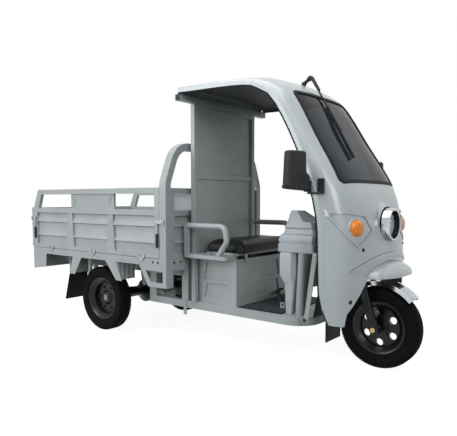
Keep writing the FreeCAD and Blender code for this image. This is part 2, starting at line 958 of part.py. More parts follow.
def bed_floor():
    inner = bed_half_width - bed_rail_width
    first = bed_rear_x + bed_rail_width
    last = bed_front_x - bed_rail_width
    bottom = bed_rail_top - 4 * bed_sheet
    top = bottom + bed_sheet
    outline = [(-inner, bottom), (-inner, top)]
    pitch = 2 * inner / bed_rib_count
    for index in range(bed_rib_count):
        middle = -inner + pitch * (index + 0.5)
        outline += [
            (middle - bed_rib_width / 2 - bed_rib_height, top),
            (middle - bed_rib_width / 2, top + bed_rib_height),
            (middle + bed_rib_width / 2, top + bed_rib_height),
            (middle + bed_rib_width / 2 + bed_rib_height, top),
        ]
    outline += [(inner, top), (inner, bottom)]
    return [prism(outline, "x", first, last)]


def chevron(tip_u, mid_z, half_height, direction, depth):
    far_u = tip_u - direction * chevron_reach
    outline = [
        (tip_u, mid_z),
        (far_u, mid_z + half_height),
        (far_u + direction * chevron_width, mid_z + half_height),
        (tip_u + direction * chevron_width, mid_z),
        (far_u + direction * chevron_width, mid_z - half_height),
        (far_u, mid_z - half_height),
    ]
    return prism(outline, "y", depth - chevron_rise, depth)


def pressed_wall(length, windows, rear_slant):
    """A pressed wall along +X from 0 to length, outer face at Y 0 and thickness towards +Y."""
    top = gate_top_z if windows else gate_slant_start_z - gate_gap
    slant = gate_slant if rear_slant else 0
    slant_z = gate_slant_start_z if rear_slant else top
    outline = [(0, gate_bottom_z), (length, gate_bottom_z), (length, top), (slant, top)]
    if rear_slant:
        outline.append((0, slant_z))
    frame = prism(outline, "y", 0, gate_thickness)
    bay_left = gate_stile
    bay_right = length - gate_stile
    cutters = [box(bay_left, bay_right, -cut_overrun, gate_thickness + cut_overrun,
                   gate_sill_top, gate_mid_rail_bottom)]
    window_top = top - gate_top_rail
    plate_left = length * centre_plate_shares[0]
    plate_right = length * centre_plate_shares[1]
    window_outlines = []
    if windows:
        window_outlines = [
            [
                (bay_left + slant * 0.35, gate_window_bottom),
                (plate_left, gate_window_bottom),
                (plate_left, window_top),
                (bay_left + slant, window_top),
            ],
            [
                (plate_right, gate_window_bottom),
                (bay_right, gate_window_bottom),
                (bay_right, window_top),
                (plate_right, window_top),
            ],
        ]
    for outline in window_outlines:
        cutters.append(prism(outline, "y", -cut_overrun, gate_thickness + cut_overrun))
    if windows:
        cutters.append(box(plate_left, plate_right, -cut_overrun, plate_depth, gate_window_bottom, window_top))
        cutters.append(box(plate_left + gate_sheet, plate_right - gate_sheet, plate_depth + gate_sheet,
                           gate_thickness + cut_overrun, gate_window_bottom, window_top))
    wall = frame.cut(Part.makeCompound(cutters))
    height = gate_mid_rail_bottom - gate_sill_top
    levels = [gate_sill_top + share * height for share in ridge_height_shares]
    face = [
        (gate_sheet_depth, gate_sill_top),
        (gate_sheet_depth, levels[0]),
        (ridge_out_depth, levels[1]),
        (gate_sheet_depth, levels[2]),
        (gate_sheet_depth, levels[3]),
        (ridge_out_depth, levels[4]),
        (gate_sheet_depth, levels[5]),
        (gate_sheet_depth, gate_mid_rail_bottom),
    ]
    back = [(depth + gate_sheet, z) for depth, z in reversed(face)]
    pieces = [wall, prism(face + back, "x", bay_left, bay_right)]
    for share in stiffener_shares:
        middle = length * share
        pieces.append(prism(
            [
                (middle - stiffener_foot_width / 2, gate_sill_top),
                (middle + stiffener_foot_width / 2, gate_sill_top),
                (middle + stiffener_top_width / 2, gate_mid_rail_bottom),
                (middle - stiffener_top_width / 2, gate_mid_rail_bottom),
            ],
            "y", ridge_out_depth / 2, gate_sheet_depth + gate_sheet))
    if windows:
        mid_z = (gate_window_bottom + window_top) / 2
        half = (window_top - gate_window_bottom) * 0.4
        for index in range(2):
            shift = chevron_reach + chevron_pitch * (index + 0.5)
            pieces.append(chevron(plate_left + shift, mid_z, half, 1, plate_depth))
            pieces.append(chevron(plate_right - shift, mid_z, half, -1, plate_depth))
    return fused(pieces)


def side_gate_right():
    wall = pressed_wall(gate_front_x - gate_rear_x, True, True)
    wall.translate(vec(gate_rear_x, -bed_half_width, 0))
    return wall


def front_wall():
    half = bed_half_width - hoop_tube
    wall = pressed_wall(2 * half, True, False)
    wall.rotate(world_origin, z_axis, 90)
    wall.translate(vec(bed_front_x - post_length * 0.2, -half, -gate_gap))
    return [wall]


def tailgate():
    half = bed_half_width
    wall = pressed_wall(2 * half, False, False)
    wall.rotate(world_origin, z_axis, -90)
    wall.translate(vec(tail_inner_x - gate_thickness, half, 0))
    return wall


def front_hoop():
    post_y = bed_half_width - hoop_tube / 2
    top_z = hoop_top_z - hoop_tube / 2
    middle_x = bed_front_x - post_length / 2
    foot_z = bed_rail_top
    bend_z = gate_top_z + hoop_straight
    points = [
        vec(middle_x, -post_y, foot_z),
        vec(middle_x, -post_y, bend_z),
        vec(middle_x, -hoop_half_top, top_z),
        vec(middle_x, hoop_half_top, top_z),
        vec(middle_x, post_y, bend_z),
        vec(middle_x, post_y, foot_z),
    ]
    return [bent_bar(points, hoop_corner_radius, hoop_tube, post_length, x_axis)]


def hinge_pieces(middle, along, out, plate_in):
    """Knuckles of one gate hinge: those fixed to the bed and those that turn with the gate.

    The pin runs along one direction; plate_in is how far the bed's own face lies in from the gate's."""
    half = along * (hinge_length / 2)
    quarter = along * (hinge_length / 4 - seat_clearance)
    in_face = out * -hinge_radius
    fixed_bar = rod(middle - quarter, middle + quarter, hinge_radius)
    leaf_start = middle - quarter + in_face - out * plate_in
    leaf = fixed_leaf(leaf_start, quarter * 2, out * (plate_in + hinge_radius), -hinge_leaf_height)
    turning = []
    for sign in (-1, 1):
        near = middle + along * (sign * (hinge_length / 4 + seat_clearance))
        far = middle + half * sign
        knuckle = rod(near, far, hinge_radius)
        pin_half = rod(near, far, hinge_radius * 0.5)
        tab = fixed_leaf(near + in_face, far - near, out * hinge_radius, hinge_leaf_height)
        turning.append(fused([knuckle, tab, pin_half]))
    return fused([fixed_bar, leaf]), turning


def fixed_leaf(corner, length_way, out_way, rise):
    """A plate from a corner along two directions and up or down by a rise."""
    corners = [corner, corner + length_way, corner + length_way + out_way, corner + out_way]
    face = Part.Face(Part.makePolygon(corners + corners[:1]))
    return face.extrude(z_axis * rise)


def side_hinges():
    """Fixed and turning knuckles on the right side gate."""
    level = bed_rail_top + gate_gap / 2
    fixed = []
    turning = []
    for share in hinge_x_shares:
        spot = bed_rear_x + share * (bed_front_x - bed_rear_x)
        middle = vec(spot, -bed_half_width - hinge_radius, level)
        bed_side, gate_side = hinge_pieces(middle, x_axis, y_axis * -1, 0)
        fixed.append(bed_side)
        turning += gate_side
    return fixed, turning


def tail_hinges():
    level = bed_rail_top + gate_gap / 2
    outer_x = tail_inner_x - gate_thickness
    fixed = []
    turning = []
    for share in hinge_x_shares:
        spot = -bed_half_width + share * 2 * bed_half_width
        middle = vec(outer_x - hinge_radius, spot, level)
        bed_side, gate_side = hinge_pieces(middle, y_axis, x_axis * -1, bed_rear_x - outer_x)
        fixed.append(bed_side)
        turning += gate_side
    return fixed, turning


# Latches
def front_keeper_x():
    return bed_front_x - post_length / 2


def rear_keeper_x():
    return tail_inner_x - gate_thickness / 2


def keeper(x):
    start = vec(x, -bed_half_width, latch_z)
    return rod(start, start - y_axis * keeper_length, keeper_radius)


def latch(keeper_x, towards):
    """Hook lever on the right gate; towards is +1 when the hook points forward."""
    face = -bed_half_width - latch_stand_off
    pivot = vec(keeper_x - towards * keeper_reach, face, latch_z)
    out = y_axis * -1
    boss = rod(pivot, pivot + out * latch_plate, latch_boss_radius)
    slot = keeper_radius + latch_play
    tip = keeper_reach + slot + hook_wall

    def side_view(points):
        return prism([(pivot.x + towards * a, latch_z + b) for a, b in points], "y", face - latch_plate, face)

    arm = side_view([
        (0, -latch_arm / 2),
        (keeper_reach - slot, -latch_arm / 2),
        (keeper_reach - slot, slot),
        (keeper_reach + slot, slot),
        (keeper_reach + slot, -latch_arm),
        (tip, -latch_arm),
        (tip, slot + hook_wall),
        (0, slot + hook_wall),
    ])
    grip_y = face - sleeve_radius
    stem_top = vec(pivot.x, grip_y, latch_z)
    stem = rod(stem_top, stem_top - z_axis * (handle_drop + sleeve_radius / 2), handle_rod_radius)
    sleeve_top = stem_top - z_axis * (handle_drop - sleeve_length)
    sleeve = rod(sleeve_top, sleeve_top - z_axis * sleeve_length, sleeve_radius)
    pin = rod(pivot + y_axis * latch_stand_off, pivot, latch_boss_radius * 0.6)
    return fused([boss, arm, stem, sleeve, pin])


# Cab shell
def eased_slopes(at, values):
    """Slopes at the given places that keep the curve between its neighbours."""
    steps = [b - a for a, b in zip(at, at[1:])]
    rates = [(b - a) / step for a, b, step in zip(values, values[1:], steps)]
    slopes = [rates[0]]
    for left, right, before, after in zip(rates, rates[1:], steps, steps[1:]):
        if left * right <= 0:
            slopes.append(0)
        else:
            near = before + 2 * after
            far = 2 * before + after
            slopes.append((near + far) / (near / right + far / left))
    slopes.append(rates[-1])
    return slopes


def eased_value(at, values, slopes, place):
    """Cubic value at a place along the given places."""
    index = 0
    while index < len(at) - 2 and place > at[index + 1]:
        index += 1
    step = at[index + 1] - at[index]
    t = (place - at[index]) / step
    start = values[index] * (1 + 2 * t) * (1 - t) ** 2
    end = values[index + 1] * t * t * (3 - 2 * t)
    lean_in = slopes[index] * step * t * (1 - t) ** 2
    lean_out = slopes[index + 1] * step * t * t * (t - 1)
    return start + end + lean_in + lean_out


def shell_stations():
    """Evenly spaced stations along the shell: front, edge, half width and squareness."""
    length = shell_nose_x - shell_back_x
    height = shell_crown_z - shell_foot_z
    front_x = [shell_back_x + share * length for share in shell_front_x_shares]
    front_z = [shell_foot_z + share * height for share in shell_front_z_shares]
    edge_x = [shell_back_x + share * length for share in shell_edge_x_shares]
    edge_z = [shell_foot_z + share * height for share in shell_edge_z_shares]
    half = [share * shell_half_width for share in shell_width_shares]
    at = [0]
    for index in range(1, len(front_x)):
        run = math.hypot(front_x[index] - front_x[index - 1], front_z[index] - front_z[index - 1])
        at.append(at[-1] + run)
    columns = [front_x, front_z, edge_x, edge_z, half, shell_square_shares]
    slopes = [eased_slopes(at, column) for column in columns]
    stations = []
    for step in range(shell_station_count):
        place = at[-1] * step / (shell_station_count - 1)
        values = [eased_value(at, column, slope, place) for column, slope in zip(columns, slopes)]
        stations.append((vec(values[0], 0, values[1]), vec(values[2], 0, values[3]), values[4], values[5]))
    return stations


def shell_station(station, offset):
    """Outer curve of one station, grown by an offset, with its edge points."""
    front, edge, half_width, squareness = station
    inward = (edge - front).normalize()
    depth = (edge - front).Length + offset
    start = front - inward * offset
    half_width = half_width + offset
    power = 2 / squareness
    points = []
    for step in range(-shell_points, shell_points + 1):
        angle = math.pi / 2 * step / shell_points
        across = math.copysign(abs(math.sin(angle)) ** power, angle) * half_width
        down = depth * (1 - abs(math.cos(angle)) ** power)
        points.append(start + inward * down + y_axis * across)
    return points


def shell_layer(outer, inner):
    """A skin between two offsets of the shell's outside."""
    wires = []
    for station in shell_stations():
        outside = shell_station(station, outer)
        inside = shell_station(station, inner)
        outer_curve = Part.BSplineCurve()
        outer_curve.interpolate(outside)
        inner_curve = Part.BSplineCurve()
        inner_curve.interpolate(inside[::-1])
        wires.append(Part.Wire([
            outer_curve.toShape(),
            Part.LineSegment(outside[-1], inside[-1]).toShape(),
            inner_curve.toShape(),
            Part.LineSegment(inside[0], outside[0]).toShape(),
        ]))
    return Part.makeLoft(wires, True, True)


def shell_core():
    """The room inside the shell's outside surface, closed by a flat between its edges."""
    wires = []
    for station in shell_stations():
        outside = shell_station(station, 0)
        curve = Part.BSplineCurve()
        curve.interpolate(outside)
        wires.append(Part.Wire([curve.toShape(), Part.LineSegment(outside[-1], outside[0]).toShape()]))
    return Part.makeLoft(wires, True, True)


def screen_frame():
    """Foot point, unit slope and outward normal of the windscreen on the centre line."""
    length = shell_nose_x - shell_back_x
    height = shell_crown_z - shell_foot_z
    foot = vec(shell_back_x + shell_front_x_shares[5] * length, 0,
               shell_foot_z + shell_front_z_shares[5] * height)
    top = vec(shell_back_x + shell_front_x_shares[7] * length, 0,
              shell_foot_z + shell_front_z_shares[7] * height)
    slope = (top - foot).normalize()
    return foot, top, slope, y_axis.cross(slope).normalize()


def screen_prism(inset):
    foot, top, slope, normal = screen_frame()
    span = (top - foot).Length
    low = span * screen_foot_share + inset
    high = span * screen_top_share - inset
    foot_half = screen_foot_half - inset
    top_half = screen_top_half - inset
    points = [(low, -foot_half), (low, foot_half), (high, top_half), (high, -top_half)]

    def place(along, across):
        return foot + slope * along + y_axis * across - normal * (2 * cut_overrun)

    wire = rounded_outline(points, max(screen_corner_radius - inset, gasket_width / 2), place)
    return Part.Face(wire).extrude(normal * (4 * cut_overrun))


def visor_section(share, wall):
    """Half ellipse across the visor at a share of its reach, drawn in by the wall."""
    x = visor_base_x + share * visor_reach
    shrink = math.sqrt(1 - share * share)
    centre = vec(x, 0, visor_base_z)
    across = centre + y_axis * (visor_half_width * shrink - wall)
    up = centre + z_axis * (visor_height * shrink - wall)
    ellipse = Part.Ellipse(across, up, centre)
    return Part.Arc(ellipse, 0, math.pi).toShape()


def nose_visor():
    wires = []
    for share in visor_shares:
        outer = visor_section(share, 0)
        inner = visor_section(share, visor_wall)
        wires.append(Part.Wire([
            outer,
            Part.LineSegment(outer.Vertexes[-1].Point, inner.Vertexes[-1].Point).toShape(),
            inner,
            Part.LineSegment(inner.Vertexes[0].Point, outer.Vertexes[0].Point).toShape(),
        ]))
    hood = Part.makeLoft(wires, True, True)
    tip_edge = visor_section(visor_shares[-1], 0)
    closing = Part.LineSegment(tip_edge.Vertexes[-1].Point, tip_edge.Vertexes[0].Point).toShape()
    tip = Part.Face(Part.Wire([tip_edge, closing])).extrude(x_axis * -visor_wall)
    return [fused([hood, tip])]


def arch_cutter():
    foot_z = shell_foot_z - cut_overrun
    steps = 24
    outside = 1 / math.cos(math.pi / (2 * steps))
    outline = [(-arch_foot_half, foot_z), (-arch_shoulder_half, arch_shoulder_z)]
    grow = (visor_half_width + seat_clearance) * outside
    rise = (visor_height + seat_clearance) * outside
    for step in range(steps + 1):
        angle = math.pi * step / steps
        outline.append((-grow * math.cos(angle), visor_base_z + rise * math.sin(angle)))
    outline += [(arch_shoulder_half, arch_shoulder_z), (arch_foot_half, foot_z)]
    return prism(outline, "x", shell_nose_x - visor_reach * 2, shell_nose_x + cut_overrun)


def headlight_hole(radius):
    return rod(vec(headlight_back_x - cut_overrun, 0, headlight_z),
               vec(headlight_front_x + cut_overrun, 0, headlight_z), radius)


def turn_lamp_axis():
    angle = math.radians(turn_lamp_turn)
    return vec(math.cos(angle), -math.sin(angle), 0)


def turn_lamp_cutter(radius):
    centre = vec(turn_lamp_x, -turn_lamp_y, turn_lamp_z)
    out = turn_lamp_axis()
    return rod(centre - out * turn_lamp_cup, centre + out * turn_lamp_cup, radius)


def lamp_bead():
    """Arrow-shaped raised line round the right turn lamp."""
    out = turn_lamp_axis()
    across = z_axis.cross(out)
    centre = vec(turn_lamp_x, -turn_lamp_y, turn_lamp_z) - out * bead_half_length
    corners = []
    for along, up in zip(bead_across_shares, bead_height_shares):
        corners.append(centre + across * (along * bead_half_length) + z_axis * (up * bead_half_height))
    line = Part.makePolygon(corners + corners[:1])
    outer = Part.Face(line.makeOffset2D(bead_width / 2))
    inner = Part.Face(line.makeOffset2D(-bead_width / 2))
    band = outer.cut(inner).extrude(out * (bead_half_length * 1.5))
    return shell_layer(bead_proud, -shell_wall / 2).common(band)


def brow_ridge():
    """Raised line that follows the visor across the cowl."""
    centre = vec(shell_nose_x - visor_reach, 0, visor_base_z)
    faces = []
    for grow in (brow_width / 2, -brow_width / 2):
        across = centre + y_axis * (brow_half_width + grow)
        up = centre + z_axis * (brow_height + grow)
        ellipse = Part.Ellipse(across, up, centre)
        faces.append(Part.Face(Part.Wire(ellipse.toShape())))
    band = faces[0].cut(faces[1]).extrude(x_axis * (visor_reach * 2))
    above = box(centre.x, centre.x + visor_reach * 2, -brow_half_width * 2, brow_half_width * 2, brow_foot_z,
                brow_foot_z + brow_height)
    return shell_layer(brow_proud, -shell_wall / 2).common(band.common(above))


def edge_border():
    """Rolled border along the left edge of the shell."""
    wires = []
    for station in shell_stations():
        outside = shell_station(station, 0)
        edge = outside[-1]
        run = edge - outside[len(outside) // 2]
        forward = vec(-run.x, 0, -run.z).normalize()
        under = y_axis * (-shell_wall * 0.8)
        corners = [edge + under, edge + y_axis * border_proud,
                   edge + forward * (border_width * 0.7) + y_axis * border_proud,
                   edge + forward * border_width + under]
        wires.append(Part.makePolygon(corners + corners[:1]))
    return Part.makeLoft(wires, True, True)


def cab_shell():
    raised = both_sides(lamp_bead()) + [brow_ridge()] + both_sides(edge_border())
    shell = fused([shell_layer(0, -shell_wall)] + raised)
    cutters = [screen_prism(0), arch_cutter(), headlight_hole(headlight_radius + seat_clearance)]
    cutters += both_sides(turn_lamp_cutter(turn_lamp_radius + seat_clearance))
    return [shell.cut(Part.makeCompound(cutters))]


def shell_trim():
    wires = []
    for station in shell_stations():
        outside = shell_station(station, 0)
        inside = shell_station(station, -shell_wall)
        length = (outside[-1] - outside[len(outside) // 2])
        inward = vec(length.x, 0, length.z).normalize()
        low = inside[-1] - y_axis * trim_over
        high = outside[-1] + y_axis * (border_proud + trim_over)
        corners = [low, high, high + inward * trim_depth, low + inward * trim_depth]
        wires.append(Part.makePolygon(corners + corners[:1]))
    return both_sides(Part.makeLoft(wires, True, True))


def windscreen():
    outer = screen_prism(0)
    inner = screen_prism(gasket_width)
    gasket = shell_layer(gasket_proud, -gasket_back).common(outer).cut(inner)
    glass = shell_layer(-gasket_proud / 2, -gasket_proud / 2 - glass_thickness).common(inner)
    return gasket, glass


def headlight():
    axis = x_axis
    centre = vec(0, 0, headlight_z)
    ring_in = headlight_radius - headlight_rim
    bezel = ring(
        [
            (headlight_radius, headlight_back_x),
            (headlight_radius, headlight_front_x - headlight_rim),
            (headlight_radius - headlight_rim / 3, headlight_front_x),
            (ring_in, headlight_front_x),
            (ring_in, headlight_back_x + headlight_rim),
            (projector_radius, headlight_back_x + headlight_rim),
            (projector_radius, headlight_back_x),
        ],
        centre, axis)
    lens_back = headlight_front_x - headlight_lens_set - headlight_lens_dome
    lens = ring(
        [
            (0, lens_back - glass_thickness),
            (ring_in, lens_back - glass_thickness),
            (ring_in, lens_back),
            (ring_in * 0.66, lens_back + headlight_lens_dome * 0.65),
            (ring_in * 0.33, lens_back + headlight_lens_dome * 0.93),
            (0, lens_back + headlight_lens_dome),
        ],
        centre, axis)
    return [bezel], [lens]


def turn_lamps():
    centre = vec(turn_lamp_x, -turn_lamp_y, turn_lamp_z)
    out = turn_lamp_axis()
    lamp = ring(
        [
            (0, -turn_lamp_cup * 0.6),
            (turn_lamp_radius, -turn_lamp_cup * 0.6),
            (turn_lamp_radius, turn_lamp_dome * 0.4),
            (turn_lamp_radius * 0.72, turn_lamp_dome),
            (turn_lamp_radius * 0.36, turn_lamp_dome * 1.25),
            (0, turn_lamp_dome * 1.3),
        ],
        centre, out)
    return both_sides(lamp)


# Cab back wall and roof beam
def cab_wall():
    inner = wall_half_width - wall_tube
    post = box(wall_x - wall_tube / 2, wall_x + wall_tube / 2, inner, wall_half_width, wall_foot_z, wall_top_z)
    sheet = box(wall_x - wall_sheet / 2, wall_x + wall_sheet / 2, -inner, inner, wall_foot_z, wall_top_z)
    rib = prism(
        [
            (wall_x + wall_sheet / 2, wall_rib_z - wall_rib_height / 2),
            (wall_x + wall_sheet / 2 + wall_rib_depth, wall_rib_z - wall_rib_height * 0.4),
            (wall_x + wall_sheet / 2 + wall_rib_depth, wall_rib_z + wall_rib_height * 0.4),
            (wall_x + wall_sheet / 2, wall_rib_z + wall_rib_height / 2),
        ],
        "y", -inner, inner)
    head = box(wall_x - wall_tube / 2, wall_x + wall_tube / 2, -inner, inner, wall_top_z - wall_tube,
               wall_top_z)
    return both_sides(post) + [fused([sheet, rib, head])]


def roof_beam():
    beam = box(wall_x - beam_width / 2, wall_x + beam_width / 2, -beam_half_length, beam_half_length,
               wall_top_z, wall_top_z + beam_height)
    cap = box(wall_x - beam_width / 2, wall_x + beam_width / 2, beam_half_length,
              beam_half_length + beam_cap_length, wall_top_z, wall_top_z + beam_height)
    reach = beam_half_length - beam_cap_length
    panel = box(wall_x, wall_x + roof_end_sheet, -reach, reach, wall_top_z + beam_height, shell_crown_z)
    panel = panel.cut(shell_layer(0, -shell_wall))
    panels = sorted(panel.Solids, key=lambda piece: piece.BoundBox.ZMin)
    return [fused([beam, panels[0]])] + both_sides(cap)


# Seat
def seat_box():
    rear = wall_x + wall_tube / 2
    low = floor_top_z
    outside = box(rear, seat_box_front_x, -seat_box_half_width, seat_box_half_width, low, seat_box_top_z)
    inside = box(rear + seat_box_sheet, seat_box_front_x - seat_box_sheet - emboss_depth,
                 -seat_box_half_width + seat_box_sheet + emboss_depth,
                 seat_box_half_width - seat_box_sheet - emboss_depth, low, seat_box_top_z + cut_overrun)
    body = outside.cut(inside)
    cutters = []
    height = seat_box_top_z - low
    rows = [(0.52, 0.9), (0.1, 0.44)]
    for row_low, row_high in rows:
        outline = [
            (rear + emboss_margin, low + height * row_low),
            (seat_box_front_x - emboss_margin, low + height * row_low),
            (seat_box_front_x - emboss_margin - emboss_taper, low + height * row_high),
            (rear + emboss_margin + emboss_taper, low + height * row_high),
        ]
        side = prism(outline, "y", seat_box_half_width - emboss_depth, seat_box_half_width + cut_overrun)
        cutters += both_sides(side)
        front = [
            (-seat_box_half_width + 2 * emboss_margin, low + height * row_low),
            (seat_box_half_width - 2 * emboss_margin, low + height * row_low),
            (seat_box_half_width - 2 * emboss_margin - emboss_taper, low + height * row_high),
            (-seat_box_half_width + 2 * emboss_margin + emboss_taper, low + height * row_high),
        ]
        cutters.append(prism(front, "x", seat_box_front_x - emboss_depth, seat_box_front_x + cut_overrun))
    return [body.cut(Part.makeCompound(cutters))]


def seat_ledge():
    """Flat frame round the top of the seat box that carries the arm rests."""
    points = [
        (ledge_rear_x, -ledge_half_width),
        (ledge_front_x, -ledge_half_width),
        (ledge_front_x, -seat_box_half_width + emboss_margin),
        (ledge_rear_x, -seat_box_half_width + emboss_margin),
    ]
    wire = rounded_outline(points, ledge_corner_radius / 2, lambda a, b: vec(a, b, seat_box_top_z))
    plate = Part.Face(wire).extrude(z_axis * ledge_height)
    notch = box(ledge_rear_x - cut_overrun, wall_x + wall_tube / 2 + seat_clearance,
                -wall_half_width - seat_clearance, 0, seat_box_top_z - cut_overrun, seat_box_top_z + cut_overrun)
    return both_sides(plate.cut(notch))


def arm_rests():
    top = seat_box_top_z + ledge_height
    tube = bent_tube(
        [
            vec(ledge_rear_x + arm_post_width, -arm_y, arm_top_z),
            vec(arm_front_x, -arm_y, arm_top_z),
            vec(arm_front_x + arm_tube_radius, -arm_y, (arm_top_z + top) / 2),
            vec(arm_foot_x, -arm_y, top),
        ],
        arm_bend_radius * 0.5, arm_tube_radius)
    half_post = arm_post_depth / 2
    post = box(ledge_rear_x, ledge_rear_x + arm_post_width, -arm_y - half_post, -arm_y + half_post,
               top, arm_top_z + arm_tube_radius)
    floor_cut = box(ledge_rear_x, ledge_front_x + cut_overrun, -arm_y - cut_overrun, -arm_y + cut_overrun,
                    top - cut_overrun, top)
    return both_sides(fused([tube, post]).cut(floor_cut))


def cushion_outline(inset, z):
    """Rounded rectangle whose sides pull in between its corners."""
    x0 = cushion_rear_x + inset
    x1 = cushion_front_x - inset
    y0 = -cushion_half_width + inset
    y1 = cushion_half_width - inset
    radius = cushion_corner_radius
    draw = cushion_draw
    diag = radius * (1 - math.sqrt(0.5))
    mid_x = (x0 + x1) / 2
    mid_y = (y0 + y1) / 2

    def arc(a, b, c):
        return Part.Arc(vec(a[0], a[1], z), vec(b[0], b[1], z), vec(c[0], c[1], z)).toShape()

    edges = [
        arc((x0 + radius, y0), (mid_x, y0 + draw), (x1 - radius, y0)),
        arc((x1 - radius, y0), (x1 - diag, y0 + diag), (x1, y0 + radius)),
        arc((x1, y0 + radius), (x1 - draw, mid_y), (x1, y1 - radius)),
        arc((x1, y1 - radius), (x1 - diag, y1 - diag), (x1 - radius, y1)),
        arc((x1 - radius, y1), (mid_x, y1 - draw), (x0 + radius, y1)),
        arc((x0 + radius, y1), (x0 + diag, y1 - diag), (x0, y1 - radius)),
        arc((x0, y1 - radius), (x0 + draw, mid_y), (x0, y0 + radius)),
        arc((x0, y0 + radius), (x0 + diag, y0 + diag), (x0 + radius, y0)),
    ]
    return Part.Wire(edges)


def seat_hinge_centre():
    return vec(cushion_rear_x + pan_inset - seat_hinge_radius, 0,
               seat_box_top_z + ledge_height + seat_hinge_radius + 2 * seat_clearance)


def seat_hinge_ears():
    """Ears on the ledge that hold the ends of the seat's hinge rod."""
    centre = seat_hinge_centre()
    low = seat_box_top_z + ledge_height
    near = cushion_half_width - pan_inset + seat_clearance
    wide = seat_hinge_radius * 2
    reach = seat_hinge_radius + seat_ear_wall
    foot = box(centre.x - reach, centre.x + reach, near, near + wide, low, centre.z)
    crown = rod(centre + y_axis * near, centre + y_axis * (near + wide), reach)
    floor_cut = box(centre.x - cut_overrun, centre.x + cut_overrun, near - cut_overrun, near + cut_overrun,
                    low - cut_overrun, low)
    bore = rod(centre, centre + y_axis * ledge_half_width, seat_hinge_radius + running_clearance)
    return both_sides(fused([foot, crown]).cut(Part.makeCompound([floor_cut, bore])))


def hasp_centre():
    return vec(cushion_front_x - 2 * pan_inset + hasp_thickness * 2, hasp_y,
               seat_box_top_z + ledge_height + seat_clearance + pan_height / 2)


def hasp():
    centre = hasp_centre()
    half = y_axis * (hasp_width / 2)
    barrel = rod(centre - half, centre + half, hasp_thickness * 1.5)
    plate = box(centre.x - hasp_thickness / 2, centre.x + hasp_thickness / 2, hasp_y - hasp_width / 2,
                hasp_y + hasp_width / 2, centre.z - hasp_length, centre.z)
    slot = box(centre.x - cut_overrun, centre.x + cut_overrun, hasp_y - hasp_width / 5, hasp_y + hasp_width / 5,
               centre.z - hasp_length * 0.86, centre.z - hasp_length * 0.5)
    return [fused([barrel, plate.cut(slot)])]


def hasp_staple():
    centre = hasp_centre()
    half = hasp_width / 8
    return box(seat_box_front_x, centre.x - hasp_thickness, hasp_y - half, hasp_y + half,
               centre.z - hasp_length * 0.78, centre.z - hasp_length * 0.58)


def battery_pack():
    rear = wall_x + wall_tube / 2 + emboss_margin
    cell = battery_length / 2
    gap = seat_clearance
    packs = []
    for index in range(2):
        for side in (-1, 1):
            y0 = gap if side > 0 else -battery_width / 2
            y1 = battery_width / 2 if side > 0 else -gap
            x0 = rear + index * (cell + gap)
            packs.append(box(x0, x0 + cell, y0, y1, floor_top_z, floor_top_z + battery_height))
    return packs


def brake_pedal():
    pivot = vec(pedal_pivot_x, pedal_y, pedal_pivot_z)
    pad_spot = pivot + vec(-pedal_drop * 0.62, 0, pedal_drop)
    half = y_axis * (pedal_arm / 2)
    arm = flat_bar(pivot - half, pad_spot - half, pedal_arm, pedal_arm, y_axis)
    boss = rod(pivot - half, pivot + half, pedal_arm)
    lean = (pad_spot - pivot).normalize()
    across = y_axis.cross(lean).normalize()
    pad_half = pedal_pad_length / 2
    pad = flat_bar(pad_spot - across * pad_half, pad_spot + across * pad_half, pedal_pad_width, pedal_pad_thickness,
                   lean)
    pin = rod(pivot - half * 2, pivot + half * 2, pedal_pin_radius)
    return [fused([arm, boss, pad, pin])]


def pedal_bracket():
    pivot = vec(pedal_pivot_x, pedal_y, pedal_pivot_z)
    ears = []
    for side in (-1, 1):
        near = pedal_y + side * (pedal_arm / 2 + seat_clearance)
        far = near + side * pedal_arm / 2
        ear = box(pivot.x - pedal_arm, pivot.x + pedal_arm, min(near, far), max(near, far),
                  floor_top_z, pivot.z + pedal_arm)
        ears.append(ear.cut(rod(pivot - y_axis * cut_overrun, pivot + y_axis * cut_overrun,
                                pedal_pin_radius + running_clearance)))
    return ears


def seat_top():
    base = seat_box_top_z + ledge_height + seat_clearance
    pan = box(cushion_rear_x + pan_inset, cushion_front_x - 2 * pan_inset, -cushion_half_width + pan_inset,
              cushion_half_width - pan_inset, base, base + pan_height)
    cushion_base = base + pan_height + seat_clearance
    wires = [
        cushion_outline(cushion_inset * inset_share, cushion_base + cushion_height * z_share)
        for z_share, inset_share in zip(cushion_z_shares, cushion_inset_shares)
    ]
    cushion = Part.makeLoft(wires, True, True)
    centre = seat_hinge_centre()
    reach = y_axis * (cushion_half_width - pan_inset + seat_hinge_radius * 2)
    hinge_rod = rod(centre - reach, centre + reach, seat_hinge_radius)
    knuckles = []
    spot = hasp_centre()
    for side in (-1, 1):
        near = spot + y_axis * (side * (hasp_width / 2 + seat_clearance))
        knuckles.append(rod(near, near + y_axis * (side * hasp_width / 3), hasp_thickness * 2))
    return [fused([pan, hinge_rod] + knuckles)], [cushion]


# Floor and dash
def cab_floor():
    points = [
        (wall_x + wall_tube / 2 + seat_clearance, -floor_half_width),
        (floor_front_x + floor_tube / 2, -floor_half_width),
        (floor_front_x + floor_tube / 2, floor_half_width),
        (wall_x + wall_tube / 2 + seat_clearance, floor_half_width),
    ]
    level = floor_tube_bottom + floor_tube
    outline = Part.Wire(rounded_front(points, floor_corner_radius + floor_tube / 2, level))
    return [Part.Face(outline).extrude(z_axis * floor_plate)]


